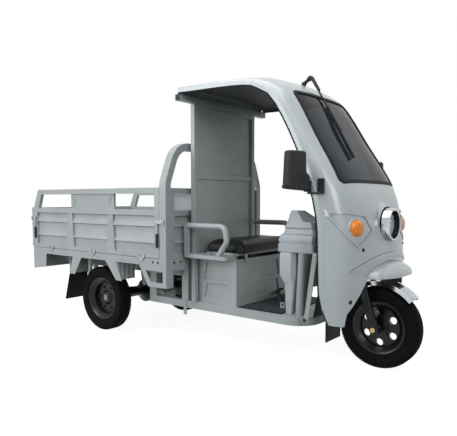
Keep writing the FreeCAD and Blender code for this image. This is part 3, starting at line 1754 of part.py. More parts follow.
def rounded_front(points, radius, level):
    """Edges of a rectangle whose two front corners are rounded."""
    (x0, y0), (x1, _), (_, y1), _ = points
    diag = radius * (1 - math.sqrt(0.5))
    p = [vec(a, b, level) for a, b in (
        (x0, y0), (x1 - radius, y0), (x1 - diag, y0 + diag), (x1, y0 + radius),
        (x1, y1 - radius), (x1 - diag, y1 - diag), (x1 - radius, y1), (x0, y1))]
    return [
        Part.LineSegment(p[0], p[1]).toShape(),
        Part.Arc(p[1], p[2], p[3]).toShape(),
        Part.LineSegment(p[3], p[4]).toShape(),
        Part.Arc(p[4], p[5], p[6]).toShape(),
        Part.LineSegment(p[6], p[7]).toShape(),
        Part.LineSegment(p[7], p[0]).toShape(),
    ]


def floor_mat():
    half = floor_half_width - floor_tube / 2
    front = leg_rear_x + leg_foot_set - gate_gap
    base = box(mat_rear_x, front, -half, half, floor_top_z, floor_top_z + mat_thickness)
    gap = pedal_arm * 1.5
    hole = box(pedal_pivot_x - gap, pedal_pivot_x + gap, pedal_y - gap, pedal_y + gap,
               floor_top_z - cut_overrun, floor_top_z + cut_overrun)
    return [base.cut(hole)]


def faceted(levels):
    """Ruled loft of level outlines on the right, each with its two outer corners cut off."""
    wires = []
    for z, rear, front, outer, inner, rear_cut, front_cut in levels:
        corners = [
            vec(rear, -inner, z),
            vec(rear, rear_cut - outer, z),
            vec(rear + rear_cut, -outer, z),
            vec(front - front_cut, -outer, z),
            vec(front, front_cut - outer, z),
            vec(front, -inner, z),
        ]
        wires.append(Part.makePolygon(corners + corners[:1]))
    return Part.makeLoft(wires, True, True)


def console_hump():
    """Right hump of the console: a flared foot, a sunk band and a cut-off front corner."""
    length = dash_front_x - dash_rear_x
    width = dash_half_width - hump_inner_y
    height = hump_top_z - dash_belt_top
    levels = []
    for level, rear, front, outer, inner, rear_cut, front_cut in zip(
            hump_level_shares, hump_rear_shares, hump_front_shares, hump_outer_shares, hump_inner_shares,
            hump_rear_cut_shares, hump_front_cut_shares):
        levels.append((dash_belt_top + level * height,
                       dash_rear_x + rear * length, dash_rear_x + front * length,
                       dash_half_width - outer * width, dash_half_width - inner * width,
                       rear_cut * width, front_cut * width))
    return faceted(levels)


def console_leg():
    """Right leg of the console: a bin under the belt that steps in to a slim foot."""
    outer = dash_half_width
    inner = dash_half_width - leg_depth
    lip = leg_lip / 4
    return faceted([
        (floor_top_z, leg_rear_x + leg_foot_set, leg_front_x - leg_foot_set * 0.3, outer, inner, lip, lip),
        (leg_step_z - leg_foot_set, leg_rear_x + leg_foot_set * 0.8, leg_front_x, outer, inner, lip, 2 * lip),
        (leg_step_z, leg_rear_x, leg_front_x, outer, inner, lip, leg_corner_cut),
        (dash_belt_bottom - leg_lip, leg_rear_x, leg_front_x, outer, inner, lip, leg_corner_cut),
        (dash_belt_bottom, leg_rear_x + lip, leg_front_x - lip, outer - lip, inner, lip, leg_corner_cut),
    ])


def dash_console():
    belt = box(dash_rear_x, dash_front_x, -dash_half_width, dash_half_width, dash_belt_bottom, dash_belt_top)
    upright = [edge for edge in belt.Edges if edge.BoundBox.ZLength > dash_corner_radius]
    belt = belt.makeFillet(dash_corner_radius, upright)
    inner = dash_half_width - leg_depth
    panel = box(knee_panel_x, knee_panel_x + knee_panel_sheet, -inner, inner, knee_panel_bottom,
                dash_belt_bottom)
    return [fused([belt, panel] + both_sides(console_hump()) + both_sides(console_leg()))]


def leaning_column():
    """Right column between the floor and the belt, its ends cut level."""
    foot = vec(column_x - column_lean, -column_y, floor_top_z)
    head = vec(column_x, -column_y, dash_belt_bottom)
    overrun = (head - foot).normalize() * column_radius
    tube = rod(foot - overrun, head + overrun, column_radius)
    reach = column_lean + 2 * column_radius
    return tube.common(box(column_x - reach, column_x + reach, -column_y - reach, reach - column_y, floor_top_z,
                           dash_belt_bottom))


def upright_pipe():
    """Slim pipe inside the right leg, with a clamp round it."""
    y = pipe_inset - dash_half_width
    pipe = rod(vec(pipe_x, y, floor_top_z), vec(pipe_x, y, dash_belt_bottom), pipe_radius)
    middle = floor_top_z + (dash_belt_bottom - floor_top_z) * pipe_clamp_share
    half = pipe_clamp / 2
    clamp = box(pipe_x - half, pipe_x + half, y - half, y + half, middle - pipe_clamp_height / 2,
                middle + pipe_clamp_height / 2)
    return fused([pipe, clamp])


def cab_braces():
    column = leaning_column()
    start = vec(brace_foot_x, -brace_y, floor_top_z)
    end = vec(brace_top_x, -brace_y, brace_top_z)
    strip = flat_bar(start, end, brace_width, brace_thickness, y_axis * -1)
    inward = vec(-brace_foot_tab, brace_foot_tab, 0)
    tab_end = start + vec(-brace_foot_tab, brace_foot_tab, 0)
    tab = flat_bar(start - inward.normalize() * brace_width * 0.4, tab_end, brace_width, brace_thickness, z_axis)
    bolt_start = vec(brace_top_x, -brace_y, brace_top_z - brace_width / 2)
    bolt_way = vec(brace_foot_tab * 0.8, -brace_foot_tab * 0.5, 0)
    bolt = rod(bolt_start, bolt_start + bolt_way, brace_bolt_radius)
    bolt = bolt.cut(shell_layer(0, -shell_wall))
    bolts = sorted(bolt.Solids, key=lambda piece: piece.BoundBox.XMin)
    return both_sides(column) + both_sides(fused([strip, tab, bolts[0]])) + [upright_pipe()]


# Steering
def raked(shape):
    """Lean a piece drawn upright about the front axle back to the rake angle."""
    turned = shape.copy()
    turned.translate(front_origin)
    turned.rotate(front_origin, y_axis, -rake_angle)
    return turned


def fork_sliders():
    body = box(-slider_depth / 2, slider_depth / 2, fork_leg_y - slider_width / 2, fork_leg_y + slider_width / 2,
               slider_bottom, slider_top)
    upright = [edge for edge in body.Edges if edge.BoundBox.ZLength > slider_top / 2]
    body = body.makeFillet(slider_width / 3, upright)
    bore = rod(vec(0, fork_leg_y, stanchion_bottom - slider_width), vec(0, fork_leg_y, slider_top + cut_overrun),
               stanchion_radius + running_clearance)
    axle_hole = rod(vec(0, 0, 0), vec(0, fork_leg_y + cut_overrun, 0), front_axle_radius + running_clearance)
    outer = fork_leg_y + slider_width / 2
    recess = box(-slider_window_width / 2, slider_window_width / 2, outer - slider_window_depth, outer + cut_overrun,
                 slider_top / 2 - slider_window_height / 2, slider_top / 2 + slider_window_height / 2)
    leg = body.cut(Part.makeCompound([bore, axle_hole, recess]))
    return [raked(piece) for piece in both_sides(leg)]


def front_axle():
    half = front_axle_half_length
    axle = rod(front_origin - y_axis * half, front_origin + y_axis * half, front_axle_radius)
    start = front_origin + y_axis * (fork_leg_y + slider_width / 2)
    nut = ring([(front_axle_radius, 0), (axle_nut_radius, 0), (axle_nut_radius, axle_nut_length),
                (front_axle_radius, axle_nut_length)], start, y_axis)
    return [axle] + both_sides(nut)


def fork_stanchions():
    leg = rod(vec(0, fork_leg_y, stanchion_bottom), vec(0, fork_leg_y, yoke_bottom), stanchion_radius)
    return [raked(piece) for piece in both_sides(leg)]


def steering_yoke():
    outer = fork_leg_y + yoke_reach
    rear = -fork_offset - yoke_reach
    outline = [
        (yoke_reach, -outer),
        (yoke_reach, outer),
        (-yoke_reach * 0.8, outer),
        (rear, yoke_reach * 1.4),
        (rear, -yoke_reach * 1.4),
        (-yoke_reach * 0.8, -outer),
    ]
    plate = prism(outline, "z", yoke_bottom, yoke_top)
    steerer = rod(vec(-fork_offset, 0, yoke_top), vec(-fork_offset, 0, steerer_top), steerer_radius)
    return [raked(fused([plate, steerer]))]


def headset_bearings():
    solids = []
    for low in (head_bottom, head_top - bearing_height):
        solids.append(raked(ring(
            [
                (steerer_radius + running_clearance, low),
                (bearing_outer_radius, low),
                (bearing_outer_radius, low + bearing_height),
                (steerer_radius + running_clearance, low + bearing_height),
            ],
            vec(-fork_offset, 0, 0), z_axis)))
    return solids


def steering_head():
    tube = raked(ring(
        [
            (bearing_outer_radius + running_clearance, head_bottom),
            (head_radius, head_bottom),
            (head_radius, head_top),
            (bearing_outer_radius + running_clearance, head_top),
        ],
        vec(-fork_offset, 0, 0), z_axis))
    lean = math.radians(rake_angle)
    top = front_origin + vec(-fork_offset * math.cos(lean) - down_tube_top * math.sin(lean), 0,
                             -fork_offset * math.sin(lean) + down_tube_top * math.cos(lean))
    bore = raked(rod(vec(-fork_offset, 0, head_bottom - cut_overrun), vec(-fork_offset, 0, head_top + cut_overrun),
                     head_radius - rim_wall / 2))
    foot = vec(floor_front_x, -down_tube_spread, floor_tube_bottom + floor_tube)
    down = rod(foot, top, down_tube_radius)
    above = box(foot.x - 2 * cut_overrun, foot.x + 2 * cut_overrun, -floor_half_width, floor_half_width,
                floor_top_z - 2 * cut_overrun, floor_top_z)
    tubes = [piece.cut(bore).cut(above) for piece in both_sides(down)]
    stay = rod(top, vec(headlight_back_x, 0, headlight_z), cowl_stay_radius).cut(bore)
    stay = sorted(stay.Solids, key=lambda piece: -piece.BoundBox.XMax)[0]
    ends = box(headlight_back_x, headlight_front_x, -cut_overrun, cut_overrun, 0, shell_crown_z)
    return [fused([tube, stay.cut(ends)] + tubes)] + headset_bearings()


def bar_points():
    lean = math.radians(rake_angle)
    clamp = front_origin + vec(-fork_offset * math.cos(lean) - bar_height * math.sin(lean), 0,
                               -fork_offset * math.sin(lean) + bar_height * math.cos(lean))
    bend_y = bar_flat_half + 2 * bar_rise
    return clamp, [
        clamp + vec(-bar_sweep, -bar_half_width, bar_rise),
        clamp + vec(-bar_sweep * 0.2, -bend_y - bar_bend_radius, bar_rise),
        clamp + vec(0, -bar_flat_half, 0),
        clamp + vec(0, bar_flat_half, 0),
        clamp + vec(-bar_sweep * 0.2, bend_y + bar_bend_radius, bar_rise),
        clamp + vec(-bar_sweep, bar_half_width, bar_rise),
    ]


def handlebar():
    clamp, points = bar_points()
    return [bent_tube(points, bar_bend_radius, bar_radius)]


def steering_stem():
    clamp, _ = bar_points()
    lower = raked(ring(
        [
            (steerer_radius + running_clearance, head_top + bearing_height),
            (stem_radius, head_top + bearing_height),
            (stem_radius, bar_height - bar_radius),
            (0, bar_height - bar_radius),
            (0, steerer_top + seat_clearance),
            (steerer_radius + running_clearance, steerer_top + seat_clearance),
        ],
        vec(-fork_offset, 0, 0), z_axis))
    half = y_axis * (bar_flat_half * 0.6)
    grip = rod(clamp - half, clamp + half, stem_clamp_radius)
    bore = rod(clamp - half * 2, clamp + half * 2, bar_radius + running_clearance)
    return [fused([lower, grip]).cut(bore)]


def bar_end(side):
    _, points = bar_points()
    end, before = (points[0], points[1]) if side < 0 else (points[-1], points[-2])
    return end, (before - end).normalize()


def bar_grip(side):
    end, inward = bar_end(side)
    return ring(
        [
            (bar_radius + running_clearance, 0),
            (grip_radius, 0),
            (grip_radius, grip_length),
            (bar_radius + running_clearance, grip_length),
        ],
        end, inward)


def lever_pivot(side):
    end, inward = bar_end(side)
    forward = inward.cross(z_axis).normalize()
    forward = forward if forward.x > 0 else forward * -1
    return end + inward * (grip_length + lever_mount) + forward * (lever_gap * 0.7), inward, forward


def lever_perch(side):
    pivot, inward, forward = lever_pivot(side)
    end, _ = bar_end(side)
    middle = end + inward * (grip_length + lever_mount)
    half = inward * (lever_mount * 0.7)
    collar = rod(middle - half, middle + half, grip_radius)
    start = pivot - z_axis * lever_depth
    ear = rod(start, start + z_axis * (lever_depth / 2 - seat_clearance), lever_depth * 0.8)
    arm = flat_bar(middle - z_axis * lever_depth, pivot - z_axis * lever_depth, lever_depth,
                   lever_depth / 2 - seat_clearance, z_axis)
    bore = rod(middle - half * 3, middle + half * 3, bar_radius + running_clearance)
    return fused([collar, ear, arm]).cut(bore)


def brake_lever(side):
    pivot, inward, forward = lever_pivot(side)
    outward = inward * -1
    low = pivot - z_axis * (lever_depth / 2)
    tip = low + outward * lever_length + forward * (lever_gap * 0.25)
    blade = flat_bar(low, tip, lever_width, lever_depth, z_axis)
    eye = rod(low, low + z_axis * lever_depth, lever_depth * 0.8)
    knob = rod(tip, tip + z_axis * lever_depth, lever_width * 0.6)
    return fused([blade, eye, knob])


# Front guard and brake
def guard_profile():
    outer = [
        (guard_radius - guard_skirt, -guard_half_width),
        (guard_radius - guard_sheet * 3, -guard_half_width),
        (guard_radius, -guard_half_width * 0.6),
        (guard_radius + guard_sheet, 0),
        (guard_radius, guard_half_width * 0.6),
        (guard_radius - guard_sheet * 3, guard_half_width),
        (guard_radius - guard_skirt, guard_half_width),
    ]
    wall = guard_sheet
    inner = []
    for radius, along in reversed(outer):
        pull = wall if abs(along) > guard_half_width * 0.9 else 0
        sign = 1 if along > 0 else -1
        drop = 0 if radius <= guard_radius - guard_skirt else wall
        inner.append((radius - drop, along - sign * pull))
    return outer + inner


def front_mudguard():
    profile = guard_profile()
    corners = [front_origin + x_axis * radius + y_axis * along for radius, along in profile]
    face = Part.Face(Part.makePolygon(corners + corners[:1]))
    face.rotate(front_origin, y_axis, -guard_front_angle)
    sweep = face.revolve(front_origin, y_axis, guard_front_angle - guard_rear_angle)
    stay_gap = fork_leg_y - slider_width / 2
    lean = math.radians(rake_angle)
    along = guard_radius - guard_skirt * 0.6
    spot = front_origin + vec(-along * math.sin(lean), 0, along * math.cos(lean))
    stay = rod(spot + y_axis * guard_half_width, spot + y_axis * stay_gap, guard_stay_radius)
    return [sweep] + both_sides(stay)


def front_brake_plate():
    inner = front_hub_length / 2 + seat_clearance
    plate = ring(
        [
            (front_axle_radius + running_clearance, inner),
            (drum_plate_radius, inner),
            (drum_plate_radius, inner + drum_plate_thickness),
            (front_axle_radius + running_clearance, inner + drum_plate_thickness),
        ],
        front_origin, y_axis * -1)
    y = -inner - drum_plate_thickness
    start = front_origin + vec(drum_plate_radius * 0.6, y, 0)
    arm = flat_bar(start, start + vec(brake_arm_length * 0.3, 0, -brake_arm_length), brake_arm_width,
                   drum_plate_thickness, y_axis * -1)
    spacer = ring(
        [
            (front_axle_radius + running_clearance, 0),
            (axle_nut_radius, 0),
            (axle_nut_radius, fork_leg_y - slider_width / 2 + y),
            (front_axle_radius + running_clearance, fork_leg_y - slider_width / 2 + y),
        ],
        front_origin + y_axis * y, y_axis * -1)
    return [fused([plate, arm, spacer])]


def inner_guard():
    foot_x = floor_front_x + floor_tube / 2
    foot_z = floor_tube_bottom + floor_tube
    face = [(foot_x + inner_guard_length * xs, foot_z + (inner_guard_top_z - foot_z) * zs)
            for xs, zs in zip(inner_guard_x_shares, inner_guard_z_shares)]
    back = [(x + inner_guard_sheet, z) for x, z in reversed(face)]
    return [prism(face + back, "y", -inner_guard_half, inner_guard_half)]


def front_flap():
    x = floor_front_x + floor_tube / 2
    return [box(x, x + flap_thickness, -front_flap_half, front_flap_half, front_flap_bottom,
                floor_tube_bottom + floor_tube)]


# Brackets, flaps and lamps under the bed
def arch_bracket(top, foot):
    face = bed_half_width
    outline = [(top[0], bed_rail_bottom), (top[1], bed_rail_bottom), (foot[1], arch_foot_z),
               (foot[0], arch_foot_z)]
    side = prism(outline, "y", face - bracket_sheet, face)
    return side


def wheel_brackets():
    solids = []
    face = bed_half_width
    inner = face - flap_width
    solids += both_sides(arch_bracket(arch_rear_top, arch_rear_foot))
    solids += both_sides(arch_bracket(arch_front_top, arch_front_foot))
    outline = [
        (front_bracket_rear_x, bed_rail_bottom),
        (bed_front_x, bed_rail_bottom),
        (bed_front_x, front_bracket_foot_z),
        (front_bracket_foot_x, front_bracket_foot_z),
    ]
    rim = front_bracket_rim
    hole = [
        (front_bracket_rear_x + 2 * rim, bed_rail_bottom - rim),
        (bed_front_x - rim, bed_rail_bottom - rim),
        (bed_front_x - rim, front_bracket_foot_z + rim),
        (front_bracket_foot_x + rim * 0.7, front_bracket_foot_z + rim),
    ]
    plate = prism(outline, "y", face - bracket_sheet, face)
    plate = plate.cut(prism(hole, "y", face - cut_overrun, face + cut_overrun))
    cheek = box(bed_front_x - bracket_sheet, bed_front_x, floor_half_width, face - bracket_sheet,
                front_bracket_foot_z, bed_rail_bottom)
    cheek = cheek.cut(box(bed_front_x - cut_overrun, bed_front_x + cut_overrun, floor_half_width - cut_overrun,
                          face - 2 * rim, front_bracket_foot_z - cut_overrun, bed_rail_bottom - rim))
    solids += both_sides(fused([plate, cheek]))
    carrier = box(arch_rear_foot[0], arch_rear_foot[0] + bracket_sheet, inner, face - bracket_sheet,
                  arch_foot_z, bed_rail_bottom)
    solids += both_sides(carrier)
    return solids


def rear_flaps():
    top_x = arch_rear_foot[0]
    top_z = arch_foot_z + flap_set_back * 0.4
    outline = [
        (top_x - flap_thickness, top_z),
        (top_x, top_z),
        (top_x, arch_foot_z),
        (top_x - flap_set_back + flap_thickness, flap_bottom_z),
        (top_x - flap_set_back, flap_bottom_z),
        (top_x - flap_thickness, arch_foot_z),
    ]
    return both_sides(prism(outline, "y", bed_half_width - flap_width, bed_half_width - bracket_sheet))


def splash_guards():
    """Waved sheet behind the front arch bracket, hung from the bed rail."""
    inner = bed_half_width - flap_width
    outer = bed_half_width - bracket_sheet
    base_x = arch_front_foot[0] + bracket_sheet
    pitch = (outer - inner) / splash_wave_count
    front = []
    for index in range(splash_wave_count):
        at = inner + pitch * index
        front += [(base_x, at), (base_x + splash_wave_depth, at + pitch * 0.25),
                  (base_x + splash_wave_depth, at + pitch * 0.75)]
    front.append((base_x, outer))
    back = [(x - bracket_sheet, y) for x, y in reversed(front)]
    return both_sides(prism(front + back, "z", arch_foot_z, bed_rail_bottom))


def tail_panel():
    face = bed_half_width
    rear = bed_rear_x
    side = prism(
        [
            (rear, bed_rail_bottom),
            (rear + tail_bracket_length, bed_rail_bottom),
            (rear + tail_bracket_length * 0.94, tail_bracket_foot_z + bracket_sheet * 6),
            (rear, tail_bracket_foot_z),
        ],
        "y", face - bracket_sheet, face)
    back = box(rear, rear + bracket_sheet, -face + bracket_sheet, face - bracket_sheet,
               tail_bracket_foot_z, bed_rail_bottom)
    return [fused([back] + both_sides(side))]


def tail_lamps():
    mid_z = (bed_rail_bottom + tail_bracket_foot_z) / 2
    y1 = bed_half_width - tail_lamp_inset
    lamp = box(bed_rear_x - tail_lamp_depth, bed_rear_x, y1 - tail_lamp_width, y1,
               mid_z - tail_lamp_height / 2, mid_z + tail_lamp_height / 2)
    edges = [edge for edge in lamp.Edges if edge.BoundBox.XLength > tail_lamp_depth / 2]
    return both_sides(lamp.makeFillet(tail_lamp_height / 4, edges))


# Mirrors, wiper, pedal
def mirror_mount():
    y = -shell_half_width * shell_width_shares[5]
    half_length = mirror_plate_length / 2
    half_height = mirror_plate_height / 2
    plate = box(mirror_plate_x - half_length, mirror_plate_x + half_length, y - 2 * mirror_plate_thickness,
                y - mirror_plate_thickness, mirror_plate_z - half_height, mirror_plate_z + half_height)
    gap = plate.distToShape(shell_core())[0]
    plate.translate(y_axis * gap)
    pivot = vec(mirror_pivot_x, -mirror_pivot_y, mirror_plate_z - mirror_pivot_height / 2)
    post = rod(pivot - z_axis * mirror_pivot_radius, pivot, mirror_pivot_radius)
    level = z_axis * (-mirror_pivot_radius / 2)
    plate_y = y - 2 * mirror_plate_thickness + gap
    arm = rod(vec(mirror_plate_x, plate_y + mirror_plate_thickness / 2, pivot.z) + level, pivot + level,
              mirror_pivot_radius * 0.4)
    arm_end = box(mirror_plate_x - cut_overrun, mirror_plate_x + cut_overrun, plate_y + mirror_plate_thickness, 0,
                  pivot.z - cut_overrun, pivot.z + cut_overrun)
    return both_sides(fused([plate, arm.cut(arm_end), post]))


def mirror_outline():
    points = [(-across * mirror_width, mirror_bottom_z + up * mirror_height)
              for across, up in zip(mirror_across_shares, mirror_height_shares)]

    def place(across, up):
        return vec(-mirror_depth / 2, across, up)

    return rounded_outline(points, mirror_corner_radius, place)


def mirror_grooves():
    """Three level grooves across the lower part of the housing's back."""
    cuts = []
    near, far = (share * mirror_width for share in mirror_groove_span_shares)
    for share in mirror_groove_shares:
        middle = mirror_bottom_z + share * mirror_height
        cuts.append(box(mirror_depth / 2 - mirror_groove, mirror_depth, -far, -near,
                        middle - mirror_groove_height / 2, middle + mirror_groove_height / 2))
    return Part.makeCompound(cuts)


def mirror_head():
    depth = mirror_depth
    body = Part.Face(mirror_outline()).extrude(x_axis * depth)
    front_edges = [e for e in body.Edges if e.BoundBox.XMin > depth / 2 - seat_clearance]
    body = body.makeFillet(mirror_edge_radius * 0.6, front_edges).cut(mirror_grooves())
    low = mirror_bottom_z + mirror_height_shares[-1] * mirror_height + mirror_rim
    high = mirror_bottom_z + mirror_height - mirror_rim
    near = mirror_across_shares[3] * mirror_width + mirror_rim
    far = mirror_across_shares[4] * mirror_width - mirror_rim
    glass_cut = box(-depth, -depth / 2 + mirror_glass, -far, -near, low, high)
    glass = box(-depth / 2, -depth / 2 + mirror_glass, -far, -near, low, high)
    peg_start = vec(0, mirror_corner_radius - mirror_width, mirror_bottom_z + 2 * mirror_peg_radius)
    peg_end = vec(0, -mirror_width - mirror_peg_length / 2, mirror_bottom_z + 2 * mirror_peg_radius)
    peg = [rod(peg_start, peg_end, mirror_peg_radius), Part.makeSphere(mirror_peg_radius, peg_end)]
    shell = fused([body.cut(glass_cut)] + peg)
    knuckle_low = mirror_plate_z - mirror_pivot_height / 2 + seat_clearance
    knuckle = rod(vec(0, 0, knuckle_low), vec(0, 0, knuckle_low + mirror_pivot_height), mirror_pivot_radius)
    reach = mirror_pivot_radius * 0.7
    bridge = box(-mirror_pivot_radius, mirror_pivot_radius, -reach - mirror_edge_radius, 0,
                 knuckle_low, knuckle_low + mirror_pivot_height)
    shift = vec(0, -reach, 0)
    shell.translate(shift)
    glass.translate(shift)
    bridge = bridge.cut(glass)
    head = fused([shell, knuckle, bridge])
    pieces = []
    for piece in (head, glass):
        piece.rotate(world_origin, z_axis, -mirror_turn)
        piece.translate(vec(mirror_pivot_x, -mirror_pivot_y, 0))
        pieces.append(piece)
    return pieces


def wiper():
    foot, top, slope, normal = screen_frame()
    stations = shell_stations()
    behind = [station[0] for station in stations if station[0].x < wiper_base_x][0]
    ahead = [station[0] for station in stations if station[0].x >= wiper_base_x][-1]
    base = (behind + ahead) * 0.5
    roof_normal = (behind - ahead).cross(y_axis).normalize()
    roof_normal = roof_normal if roof_normal.z > 0 else roof_normal * -1
    foot_height = wiper_post_radius * 2
    post_start = base + roof_normal * (foot_height * 0.7)
    pivot = post_start + normal * wiper_post_length
    pedestal = rod(base, base + roof_normal * foot_height, wiper_boss_radius)
    post = rod(post_start, pivot - normal * (wiper_boss_radius + seat_clearance), wiper_post_radius)
    boss = rod(pivot - normal * wiper_boss_radius, pivot + normal * (wiper_arm_height / 2), wiper_boss_radius)
    down = slope * -1
    glass_drop = (pivot - top).dot(normal) - wiper_glass_gap
    blade_line = pivot - normal * glass_drop
    arm_end = blade_line + down * ((wiper_blade_top + wiper_blade_bottom) / 2) + normal * wiper_blade_height
    arm = flat_bar(pivot, arm_end, wiper_arm_width, wiper_arm_height, normal)
    blade = flat_bar(blade_line + down * wiper_blade_top, blade_line + down * wiper_blade_bottom,
                     wiper_blade_width, wiper_blade_height + wiper_arm_height / 2, normal)
    along = (arm_end - pivot).normalize()
    side = along.cross(normal).normalize()
    head_end = pivot + along * wiper_head_length
    corners = [pivot + side * (wiper_head_width / 2), head_end + side * (wiper_arm_width / 2),
               head_end - side * (wiper_arm_width / 2), pivot - side * (wiper_head_width / 2)]
    head = Part.Face(Part.makePolygon(corners + corners[:1])).extrude(normal * (2 * wiper_arm_height))
    moving = fused([boss, arm, blade, head])
    moving.rotate(pivot, normal, -wiper_rest_angle)
    return moving, fused([pedestal, post])


def main():
    save("chassis_frame", chassis_frame() + spring_hangers())
    side_fixed, side_turning = side_hinges()
    tail_fixed, tail_turning = tail_hinges()
    side_fixed_all = [piece for part in side_fixed for piece in both_sides(part)]
    save("bed_frame", bed_frame() + side_fixed_all + tail_fixed)
    save("bed_floor", bed_floor())
    save("front_wall", front_wall())
    post_pins = both_sides(keeper(front_keeper_x()))
    save("front_hoop", [fused(front_hoop() + post_pins)])
    gate = [fused([side_gate_right()] + side_turning)]
    save("side_gate_right", gate)
    save("side_gate_left", [mirrored(piece) for piece in gate])
    tail_pins = both_sides(keeper(rear_keeper_x()))
    save("tailgate", [fused([tailgate()] + tail_turning + tail_pins)])
    front_latch = latch(front_keeper_x(), 1)
    rear_latch = latch(rear_keeper_x(), -1)
    save("latch_front_right", [front_latch])
    save("latch_front_left", [mirrored(front_latch)])
    save("latch_rear_right", [rear_latch])
    save("latch_rear_left", [mirrored(rear_latch)])
    save("wheel_brackets", wheel_brackets() + splash_guards() + tail_panel())
    save("rear_flaps", rear_flaps())
    save("tail_lamps", tail_lamps())
    save("rear_axle", rear_axle_parts())
    save("drive_motor", motor_parts())
    save("leaf_springs", leaf_springs())
    save("rear_rim_right", [rear_rim(-1)])
    save("rear_rim_left", [rear_rim(1)])
    save("rear_tyre_right", [tyre(rear_centre(-1), rear_tyre_width)])
    save("rear_tyre_left", [tyre(rear_centre(1), rear_tyre_width)])
    save("front_rim", [front_rim()])
    save("front_tyre", [tyre(front_origin, front_tyre_width)])
    save("cab_wall", cab_wall())
    save("roof_beam", roof_beam())
    save("cab_shell", cab_shell())
    save("shell_trim", shell_trim())
    gasket, glass = windscreen()
    save("windscreen_gasket", [gasket])
    save("windscreen_glass", [glass])
    save("nose_visor", nose_visor())
    bezel, lens = headlight()
    save("headlight_bezel", bezel)
    save("headlight_lens", lens)
    save("turn_lamps", turn_lamps())
    save("seat_box", [fused(seat_box() + [hasp_staple()])])
    save("battery_pack", battery_pack())
    save("arm_rests", seat_ledge() + arm_rests() + seat_hinge_ears())
    pan, cushion = seat_top()
    save("seat_pan", pan)
    save("seat_cushion", cushion)
    save("seat_hasp", hasp())
    save("cab_floor", cab_floor() + pedal_bracket())
    save("floor_mat", floor_mat())
    save("brake_pedal", brake_pedal())
    save("dash_console", dash_console())
    save("cab_braces", cab_braces())
    save("fork_sliders", fork_sliders())
    save("front_axle", front_axle() + front_brake_plate())
    save("steering_yoke", steering_yoke() + fork_stanchions())
    save("steering_head", steering_head())
    save("handlebar", handlebar() + [bar_grip(1), lever_perch(-1), lever_perch(1)])
    save("steering_stem", steering_stem())
    save("throttle_grip", [bar_grip(-1)])
    save("brake_lever_right", [brake_lever(-1)])
    save("brake_lever_left", [brake_lever(1)])
    save("front_mudguard", front_mudguard())
    save("inner_guard", inner_guard() + front_flap())
    arm, post = wiper()
    save("mirror_mounts", mirror_mount() + [post])
    head = mirror_head()
    save("mirror_right", head)
    save("mirror_left", [mirrored(piece) for piece in head])
    save("wiper_arm", [arm])


main()
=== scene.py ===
import json
import math

import bmesh
import bpy
from bpy.props import FloatProperty, FloatVectorProperty, IntProperty, PointerProperty
from mathutils import Matrix, Vector
from mathutils.bvhtree import BVHTree

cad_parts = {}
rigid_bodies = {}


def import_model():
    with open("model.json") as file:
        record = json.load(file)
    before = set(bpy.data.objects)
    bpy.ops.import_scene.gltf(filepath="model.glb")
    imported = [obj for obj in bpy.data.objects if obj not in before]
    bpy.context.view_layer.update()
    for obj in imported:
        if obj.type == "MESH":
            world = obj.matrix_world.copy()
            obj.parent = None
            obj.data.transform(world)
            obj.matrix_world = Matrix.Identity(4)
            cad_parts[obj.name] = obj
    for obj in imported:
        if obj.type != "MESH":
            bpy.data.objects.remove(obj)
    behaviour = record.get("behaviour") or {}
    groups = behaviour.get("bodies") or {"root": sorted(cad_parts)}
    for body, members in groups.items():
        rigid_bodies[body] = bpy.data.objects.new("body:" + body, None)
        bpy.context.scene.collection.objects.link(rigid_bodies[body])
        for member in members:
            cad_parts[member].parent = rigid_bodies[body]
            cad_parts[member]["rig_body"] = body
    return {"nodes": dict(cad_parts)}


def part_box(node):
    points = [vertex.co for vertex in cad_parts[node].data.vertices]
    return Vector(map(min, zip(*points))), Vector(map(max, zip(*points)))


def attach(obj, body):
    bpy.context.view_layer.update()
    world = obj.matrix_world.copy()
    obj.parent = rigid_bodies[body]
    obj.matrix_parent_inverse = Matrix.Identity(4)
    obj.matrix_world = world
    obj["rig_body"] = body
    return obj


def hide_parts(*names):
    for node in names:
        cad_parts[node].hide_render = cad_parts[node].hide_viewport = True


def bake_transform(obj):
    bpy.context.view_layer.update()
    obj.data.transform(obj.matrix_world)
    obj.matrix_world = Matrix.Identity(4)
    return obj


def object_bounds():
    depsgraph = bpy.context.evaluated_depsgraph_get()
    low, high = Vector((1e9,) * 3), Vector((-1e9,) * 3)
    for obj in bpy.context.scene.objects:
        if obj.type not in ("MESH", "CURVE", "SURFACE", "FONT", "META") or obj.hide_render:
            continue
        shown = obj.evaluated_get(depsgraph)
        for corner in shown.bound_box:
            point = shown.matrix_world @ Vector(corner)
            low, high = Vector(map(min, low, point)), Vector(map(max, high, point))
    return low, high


bl_info = {
    "name": "Cargo Tricycle",
    "version": (1, 0, 0),
    "blender": (4, 5, 0),
    "location": "3D View > Sidebar > Tricycle",
    "description": "Dresses the cargo tricycle: cab, drop-side bed, wheels, seat, lamps and stage",
    "category": "Object",
}

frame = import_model()
cad_low, cad_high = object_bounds()

MM = 0.001
MERGE_GAP = 0.01 * MM
FLAT_TURN = math.radians(0.4)
SIDES = (-1, 1)
AHEAD = (1, 0, 0)
SKY_LIGHT = 0.3
FLOOR_GREY = 0.22
FLOOR_LIFT = 0.92
FLOOR_REACH = 14.0
# Each softbox: name, place, aim, watts and side in metres
SOFTBOXES = (
    ("overhead_softbox", (0.3, -1.0, 5.2), (0.0, 0.0, 0.6), 215, 4.5),
    ("key_softbox", (4.6, -3.0, 3.0), (0.6, 0.0, 0.8), 110, 2.6),
    ("side_softbox", (-2.6, -4.8, 2.4), (-0.4, 0.0, 0.7), 150, 2.6),
)
CAMERA_SPOT = (2.50238, -2.95161, 1.00773)
CAMERA_TURN = (math.radians(85.97), 0.0, math.radians(38.45))
CAMERA_SHIFT = 0.038
SENSOR_WIDTH = 36.0
